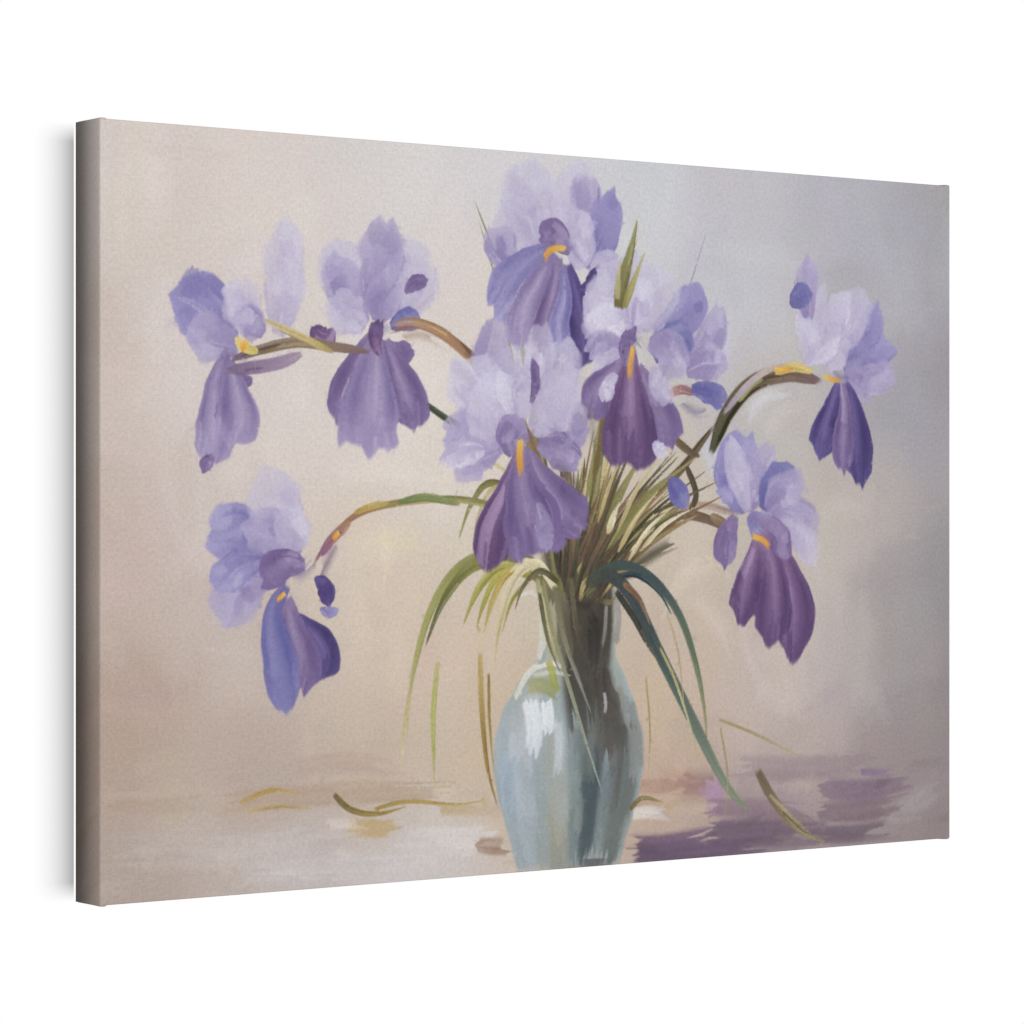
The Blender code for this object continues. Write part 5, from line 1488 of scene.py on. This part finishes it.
def staple_tree():
    """A staple at each point: a crown of flattened wire whose ends bend down into the wood."""
    tree, given, result = new_tree("staples", ("Crown", "Wire", "Wire Depth"))
    half = add(tree, "ShaderNodeMath", {0: given.outputs["Crown"], 1: 0.5}, operation="MULTIPLY")
    left = add(tree, "ShaderNodeMath", {0: half, 1: -1.0}, operation="MULTIPLY")
    start = add(tree, "ShaderNodeCombineXYZ", {"X": left})
    stop = add(tree, "ShaderNodeCombineXYZ", {"X": half})
    line = add(tree, "GeometryNodeCurvePrimitiveLine", {"Start": start, "End": stop})
    crown = add(tree, "GeometryNodeResampleCurve", {"Curve": line, "Count": 13})
    x = add(tree, "ShaderNodeSeparateXYZ", {0: add(tree, "GeometryNodeInputPosition")})
    share = add(tree, "ShaderNodeMath", {0: x, 1: half}, operation="DIVIDE")
    share = add(tree, "ShaderNodeMath", {0: share}, operation="ABSOLUTE")
    bend = add(tree, "ShaderNodeMath", {0: share, 1: 14.0}, operation="POWER")
    drop = add(tree, "ShaderNodeMath", {0: bend, 1: -0.0018}, operation="MULTIPLY")
    offset = add(tree, "ShaderNodeCombineXYZ", {"Y": drop})
    crown = add(tree, "GeometryNodeSetPosition", {"Geometry": crown, "Offset": offset})
    section = add(tree, "GeometryNodeCurvePrimitiveQuadrilateral", {
        "Width": given.outputs["Wire"], "Height": given.outputs["Wire Depth"]})
    wire = add(tree, "GeometryNodeCurveToMesh", {"Curve": crown, "Profile Curve": section, "Fill Caps": True})
    turn = add(tree, "GeometryNodeInputNamedAttribute", {"Name": "turn"}, data_type="FLOAT_VECTOR")
    spread = add(tree, "GeometryNodeInstanceOnPoints", {
        "Points": given.outputs["Geometry"], "Instance": wire, "Rotation": turn})
    real = add(tree, "GeometryNodeRealizeInstances", {"Geometry": spread})
    done = add(tree, "GeometryNodeSetMaterial", {"Geometry": real, "Material": given.outputs["Finish"]})
    tree.links.new(done, result.inputs["Geometry"])
    return tree


def fray_tree():
    """Loose threads along the cut edge of the cloth, each a short bent hair of its own length."""
    tree, given, result = new_tree("frayed_edge", ("Spacing", "Length"))
    edge = add(tree, "GeometryNodeMeshToCurve", {"Mesh": given.outputs["Geometry"]})
    spacing = given.outputs["Spacing"]
    points = add(tree, "GeometryNodeResampleCurve", {"Curve": edge, "Length": spacing}, mode="LENGTH")
    points = add(tree, "GeometryNodeCurveToPoints", {"Curve": points}, mode="EVALUATED", out=None)
    jitter = add(tree, "FunctionNodeRandomValue", {
        0: (-0.0008, 0.0, -0.0008), 1: (0.0008, 0.0002, 0.0008), "Seed": 3}, data_type="FLOAT_VECTOR")
    places = add(tree, "GeometryNodeSetPosition", {"Geometry": points.outputs["Points"], "Offset": jitter})
    tip = add(tree, "ShaderNodeCombineXYZ", {"X": given.outputs["Length"]})
    line = add(tree, "GeometryNodeCurvePrimitiveLine", {"End": tip})
    hair = add(tree, "GeometryNodeResampleCurve", {"Curve": line, "Count": 5})
    x = add(tree, "ShaderNodeSeparateXYZ", {0: add(tree, "GeometryNodeInputPosition")})
    share = add(tree, "ShaderNodeMath", {0: x, 1: given.outputs["Length"]}, operation="DIVIDE")
    bow = add(tree, "ShaderNodeMath", {0: share, 1: 2.0}, operation="POWER")
    bow = add(tree, "ShaderNodeMath", {0: bow, 1: 0.0014}, operation="MULTIPLY")
    offset = add(tree, "ShaderNodeCombineXYZ", {"Z": bow})
    hair = add(tree, "GeometryNodeSetPosition", {"Geometry": hair, "Offset": offset})
    section = add(tree, "GeometryNodeCurvePrimitiveCircle", {"Resolution": 4, "Radius": 0.00012})
    thread = add(tree, "GeometryNodeCurveToMesh", {
        "Curve": hair, "Profile Curve": section, "Fill Caps": True})
    inward = add(tree, "GeometryNodeInputNamedAttribute", {"Name": "turn"}, data_type="FLOAT_VECTOR")
    stray = add(tree, "FunctionNodeRandomValue", {0: (-3.1, -0.7, -0.02), 1: (3.1, 0.7, 0.12), "Seed": 5},
                data_type="FLOAT_VECTOR")
    turn = add(tree, "ShaderNodeVectorMath", {0: inward, 1: stray}, operation="ADD")
    size = add(tree, "FunctionNodeRandomValue", {2: 0.35, 3: 1.3, "Seed": 7}, out=1)
    spread = add(tree, "GeometryNodeInstanceOnPoints", {
        "Points": places, "Instance": thread, "Rotation": turn, "Scale": size})
    real = add(tree, "GeometryNodeRealizeInstances", {"Geometry": spread})
    done = add(tree, "GeometryNodeSetMaterial", {"Geometry": real, "Material": given.outputs["Finish"]})
    tree.links.new(done, result.inputs["Geometry"])
    return tree


def seed_points(name, places, turns, edges=()):
    """A mesh of bare points, each with the turn of what grows on it."""
    mesh = bpy.data.meshes.new(name)
    mesh.from_pydata(places, edges, [])
    turn = mesh.attributes.new("turn", "FLOAT_VECTOR", "POINT")
    turn.data.foreach_set("vector", np.array(turns, np.float32).ravel())
    return mesh


# ---------------------------------------------------------------- operators

HANGER_ROOM = 0.01  # free of added staples on either side of the hanger
STAPLE_LIFT = 0.0006  # from the cloth's back face to the middle of an added staple
STAPLE_SKEW = 4  # degrees, how unevenly the added staples are driven
SHADOW_FADE = 0.015  # over which the shadow card fades at its top and foot
SHADOW_CURVE = 2.2  # how fast the shadow falls off away from the picture


class PICTURE_OT_wood(bpy.types.Operator):
    """Finish the stretcher bars, the brace and the wedges"""

    bl_idname = "picture.wood"
    bl_label = "Wood"

    def execute(self, context):
        wood = context.scene.picture.wood
        pine = {along: pine_finish(wood, along) for along in ("x", "z")}
        beech = beech_finish(wood)
        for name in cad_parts:
            if name.endswith("_rail"):
                dress(name, pine["x"])
            elif name.endswith("_stile") or name == "cross_brace":
                dress(name, pine["z"])
            elif "_key_" in name:
                dress(name, beech)
        return {"FINISHED"}


class PICTURE_OT_canvas(bpy.types.Operator):
    """Print the still life and wrap the cloth over the frame, with its folded corners and frayed edge"""

    bl_idname = "picture.canvas"
    bl_label = "Printed canvas"

    def execute(self, context):
        settings = context.scene.picture.canvas
        board = paint_picture()
        cotton = cotton_finish(settings)
        mesh, cloth = canvas_mesh(settings, board)
        canvas = placed("printed_canvas", mesh, cotton)
        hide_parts("canvas")
        folds = placed("corner_folds", fold_mesh(cloth, settings, board), cotton)
        fray = self.frayed_edge(context, cloth)
        return {"FINISHED"}

    def frayed_edge(self, context, cloth):
        """Loose threads along the four cut edges at the back."""
        metal = context.scene.picture.metal
        x, z = (CUT_SHARE * half for half in cloth.corners(cloth.turn_over + CUT_OUT)[2])
        lines, turns, edges = [], [], []
        corners = [(-x, -z), (x, -z), (x, z), (-x, z)]
        inward = (-90, 180, 90, 0)  # degrees about Y that point a thread to the picture's middle
        for number, angle in enumerate(inward):
            for corner in (corners[number], corners[(number + 1) % 4]):
                lines.append((corner[0], cloth.back - 0.0003, cloth.middle + corner[1]))
                turns.append((0, math.radians(angle), 0))
            edges.append((2 * number, 2 * number + 1))
        seeds = seed_points("cut_edge", lines, turns, edges)
        raw = thread_finish(context.scene.picture.canvas)
        values = {"Spacing": metal.thread_pitch, "Length": metal.thread_length}
        mesh = grown("frayed_threads", seeds, fray_tree(), values, raw)
        return placed("frayed_threads", mesh, raw)


class PICTURE_OT_staples(bpy.types.Operator):
    """Finish the staples, and add the ones that stand between them"""

    bl_idname = "picture.staples"
    bl_label = "Staples"

    def execute(self, context):
        metal = context.scene.picture.metal
        steel = steel_finish(metal)
        rng = np.random.default_rng(12)
        places, turns = [], []
        keep_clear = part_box("sawtooth_hanger")
        for side in SIDES:
            names = sorted(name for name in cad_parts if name.startswith(side + "_staple"))
            for name in names:
                dress(name, steel)
            middles = sorted((tuple(sum(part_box(name), Vector()) / 2) for name in names),
                             key=lambda spot: spot[0] + spot[2])
            gap = min(math.dist(a, b) for a, b in zip(middles, middles[1:]))
            for a, b in zip(middles, middles[1:]):
                spot = (Vector(a) + Vector(b)) / 2
                inside_hanger = keep_clear[0].x - HANGER_ROOM < spot.x < keep_clear[1].x + HANGER_ROOM
                if math.dist(a, b) > 1.5 * gap or (side == "top" and inside_hanger):
                    continue
                along = 0 if side in ("top", "bottom") else 90
                places.append((spot.x, CANVAS_HIGH.y + STAPLE_LIFT, spot.z))
                turns.append((0, math.radians(along + rng.normal(0, STAPLE_SKEW)), 0))
        seeds = seed_points("staple_places", places, turns)
        mesh = grown("between_staples", seeds, staple_tree(), {
            "Crown": metal.crown, "Wire": metal.wire, "Wire Depth": metal.wire_depth}, steel)
        placed("between_staples", mesh, steel)
        return {"FINISHED"}


class PICTURE_OT_fittings(bpy.types.Operator):
    """Finish the hanger, its screws and the wall pads"""

    bl_idname = "picture.fittings"
    bl_label = "Hanger and pads"

    def execute(self, context):
        metal = context.scene.picture.metal
        zinc, rubber = zinc_finish(metal), rubber_finish(metal)
        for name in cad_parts:
            if name == "sawtooth_hanger" or name.startswith("hanger_screw"):
                dress(name, zinc)
            elif name.startswith("wall_pad"):
                dress(name, rubber)
        return {"FINISHED"}


class PICTURE_OT_stage(bpy.types.Operator):
    """Set the pale floor, the soft light and the camera"""

    bl_idname = "picture.stage"
    bl_label = "Stage"

    def execute(self, context):
        stage = context.scene.picture.stage
        scene = context.scene
        scene.view_settings.view_transform = "Standard"
        middle = Vector((0, CANVAS_LOW.y, (CANVAS_LOW.z + CANVAS_HIGH.z) / 2))
        self.floor(scene, stage)
        self.wall_shadow(scene, stage)
        self.world(scene, stage)
        self.lamp(scene, "key", stage.key_power, middle + Vector((1.0, -3.4, 1.3)), middle, 2.4)
        self.lamp(scene, "fill", stage.fill_power, middle + Vector((-2.6, -2.2, 1.0)), middle, 2.0)
        self.lamp(scene, "back", stage.fill_power * 2.2, middle + Vector((1.2, 3.0, 1.6)), middle, 2.4)
        camera = bpy.data.objects.new("camera", bpy.data.cameras.new("camera"))
        camera.data.lens = stage.lens
        camera.location = middle + Vector(stage.stand_off)
        camera.rotation_euler = (math.radians(90), 0, stage.turn)
        scene.collection.objects.link(camera)
        scene.camera = camera
        return {"FINISHED"}

    def floor(self, scene, stage):
        """A round pale floor, well below the picture."""
        made, tree, shader = finish_for("painted_floor", {"Roughness": 0.7})
        place = add(tree, "ShaderNodeTexCoord", out="Object")
        tone = add(tree, "ShaderNodeTexNoise", {"Vector": place, "Scale": 3.0})
        light = add(tree, "ShaderNodeMapRange", {"Value": tone, 3: 0.97, 4: 1.03})
        paint = add(tree, "ShaderNodeHueSaturation", {"Value": light, "Color": opaque(stage.floor)})
        tree.links.new(paint, shader.inputs["Base Color"])
        bm = bmesh.new()
        bmesh.ops.create_circle(bm, cap_ends=True, segments=96, radius=stage.floor_radius)
        bmesh.ops.translate(bm, verts=bm.verts, vec=(0, 0, -stage.floor_below))
        mesh = bpy.data.meshes.new("floor")
        bm.to_mesh(mesh)
        bm.free()
        mesh.materials.append(made)
        floor = bpy.data.objects.new("floor", mesh)
        scene.collection.objects.link(floor)

    def wall_shadow(self, scene, stage):
        """A card at the wall beside the picture's left side, grey at the picture and clear further out."""
        made, tree, shader = finish_for("soft_wall_shadow", {})
        place = add(tree, "ShaderNodeTexCoord", out="Object")
        axes = add(tree, "ShaderNodeSeparateXYZ", {0: place}, out=None).outputs
        edge, wide = CANVAS_LOW.x, stage.shadow_width
        near = add(tree, "ShaderNodeMapRange", {"Value": axes["X"], 1: edge - wide, 2: edge, 3: 0.0, 4: 1.0})
        near = add(tree, "ShaderNodeMath", {0: near, 1: SHADOW_CURVE}, operation="POWER")
        ends = []
        for start, fade in ((CANVAS_HIGH.z, -SHADOW_FADE), (CANVAS_LOW.z, SHADOW_FADE)):
            ends.append(add(tree, "ShaderNodeMapRange", {"Value": axes["Z"], 1: start, 2: start + fade}))
        share = add(tree, "ShaderNodeMath", {0: near, 1: stage.shadow_depth}, operation="MULTIPLY")
        for end in ends:
            share = add(tree, "ShaderNodeMath", {0: share, 1: end}, operation="MULTIPLY")
        facing = add(tree, "ShaderNodeNewGeometry", out="Backfacing")
        facing = add(tree, "ShaderNodeMath", {0: 1.0, 1: facing}, operation="SUBTRACT")
        share = add(tree, "ShaderNodeMath", {0: share, 1: facing}, operation="MULTIPLY")
        clear = add(tree, "ShaderNodeBsdfTransparent")
        dark = add(tree, "ShaderNodeEmission", {"Color": (0, 0, 0, 1)})
        mix = add(tree, "ShaderNodeMixShader", {0: share, 1: clear, 2: dark})
        tree.links.new(mix, tree.nodes["Material Output"].inputs["Surface"])
        y, low, high = CANVAS_HIGH.y + 0.002, CANVAS_LOW.z, CANVAS_HIGH.z
        corners = [(edge - wide, y, low), (edge, y, low), (edge, y, high), (edge - wide, y, high)]
        mesh = bpy.data.meshes.new("wall_shadow")
        mesh.from_pydata(corners, [], [(0, 1, 2, 3)])
        mesh.materials.append(made)
        card = bpy.data.objects.new("wall_shadow", mesh)
        card.visible_shadow = False
        scene.collection.objects.link(card)

    def world(self, scene, stage):
        """White all round to look at, and a weaker light on things."""
        world = bpy.data.worlds.new("studio")
        scene.world = world
        world.use_nodes = True
        tree = world.node_tree
        seen = add(tree, "ShaderNodeLightPath", out="Is Camera Ray")
        strength = add(tree, "ShaderNodeMapRange", {"Value": seen, 3: stage.ambient, 4: 1.0})
        background = tree.nodes["Background"]
        background.inputs["Color"].default_value = (1, 1, 1, 1)
        tree.links.new(strength, background.inputs["Strength"])

    def lamp(self, scene, name, power, place, target, size):
        """A square soft light, turned to its target."""
        lamp = bpy.data.objects.new(name, bpy.data.lights.new(name, "AREA"))
        lamp.data.energy = power
        lamp.data.size = size
        lamp.location = place
        lamp.rotation_euler = (target - place).to_track_quat("-Z", "Y").to_euler()
        scene.collection.objects.link(lamp)


class PICTURE_PT_panel(bpy.types.Panel):
    """The steps that finish the picture, in order"""

    bl_idname = "PICTURE_PT_panel"
    bl_label = "Stretched canvas picture"
    bl_space_type = "VIEW_3D"
    bl_region_type = "UI"
    bl_category = "Picture"

    def draw(self, context):
        picture = context.scene.picture
        for step, group in STEPS:
            box = self.layout.box()
            box.operator(step.bl_idname)
            if group:
                settings = getattr(picture, group)
                for key in settings.__annotations__:
                    box.prop(settings, key)


STEPS = ((PICTURE_OT_wood, "wood"), (PICTURE_OT_canvas, "canvas"), (PICTURE_OT_staples, "metal"),
         (PICTURE_OT_fittings, None), (PICTURE_OT_stage, "stage"))
CLASSES = (CanvasSettings, WoodSettings, MetalSettings, StageSettings, PictureSettings,
           *(step for step, _ in STEPS), PICTURE_PT_panel)


def register():
    for made in CLASSES:
        bpy.utils.register_class(made)
    bpy.types.Scene.picture = PointerProperty(type=PictureSettings)


def unregister():
    del bpy.types.Scene.picture
    for made in reversed(CLASSES):
        bpy.utils.unregister_class(made)


def main():
    """Runs every step in order."""
    register()
    for step, _ in STEPS:
        group, name = step.bl_idname.split(".")
        getattr(getattr(bpy.ops, group), name)()


if __name__ == "__main__":
    main()
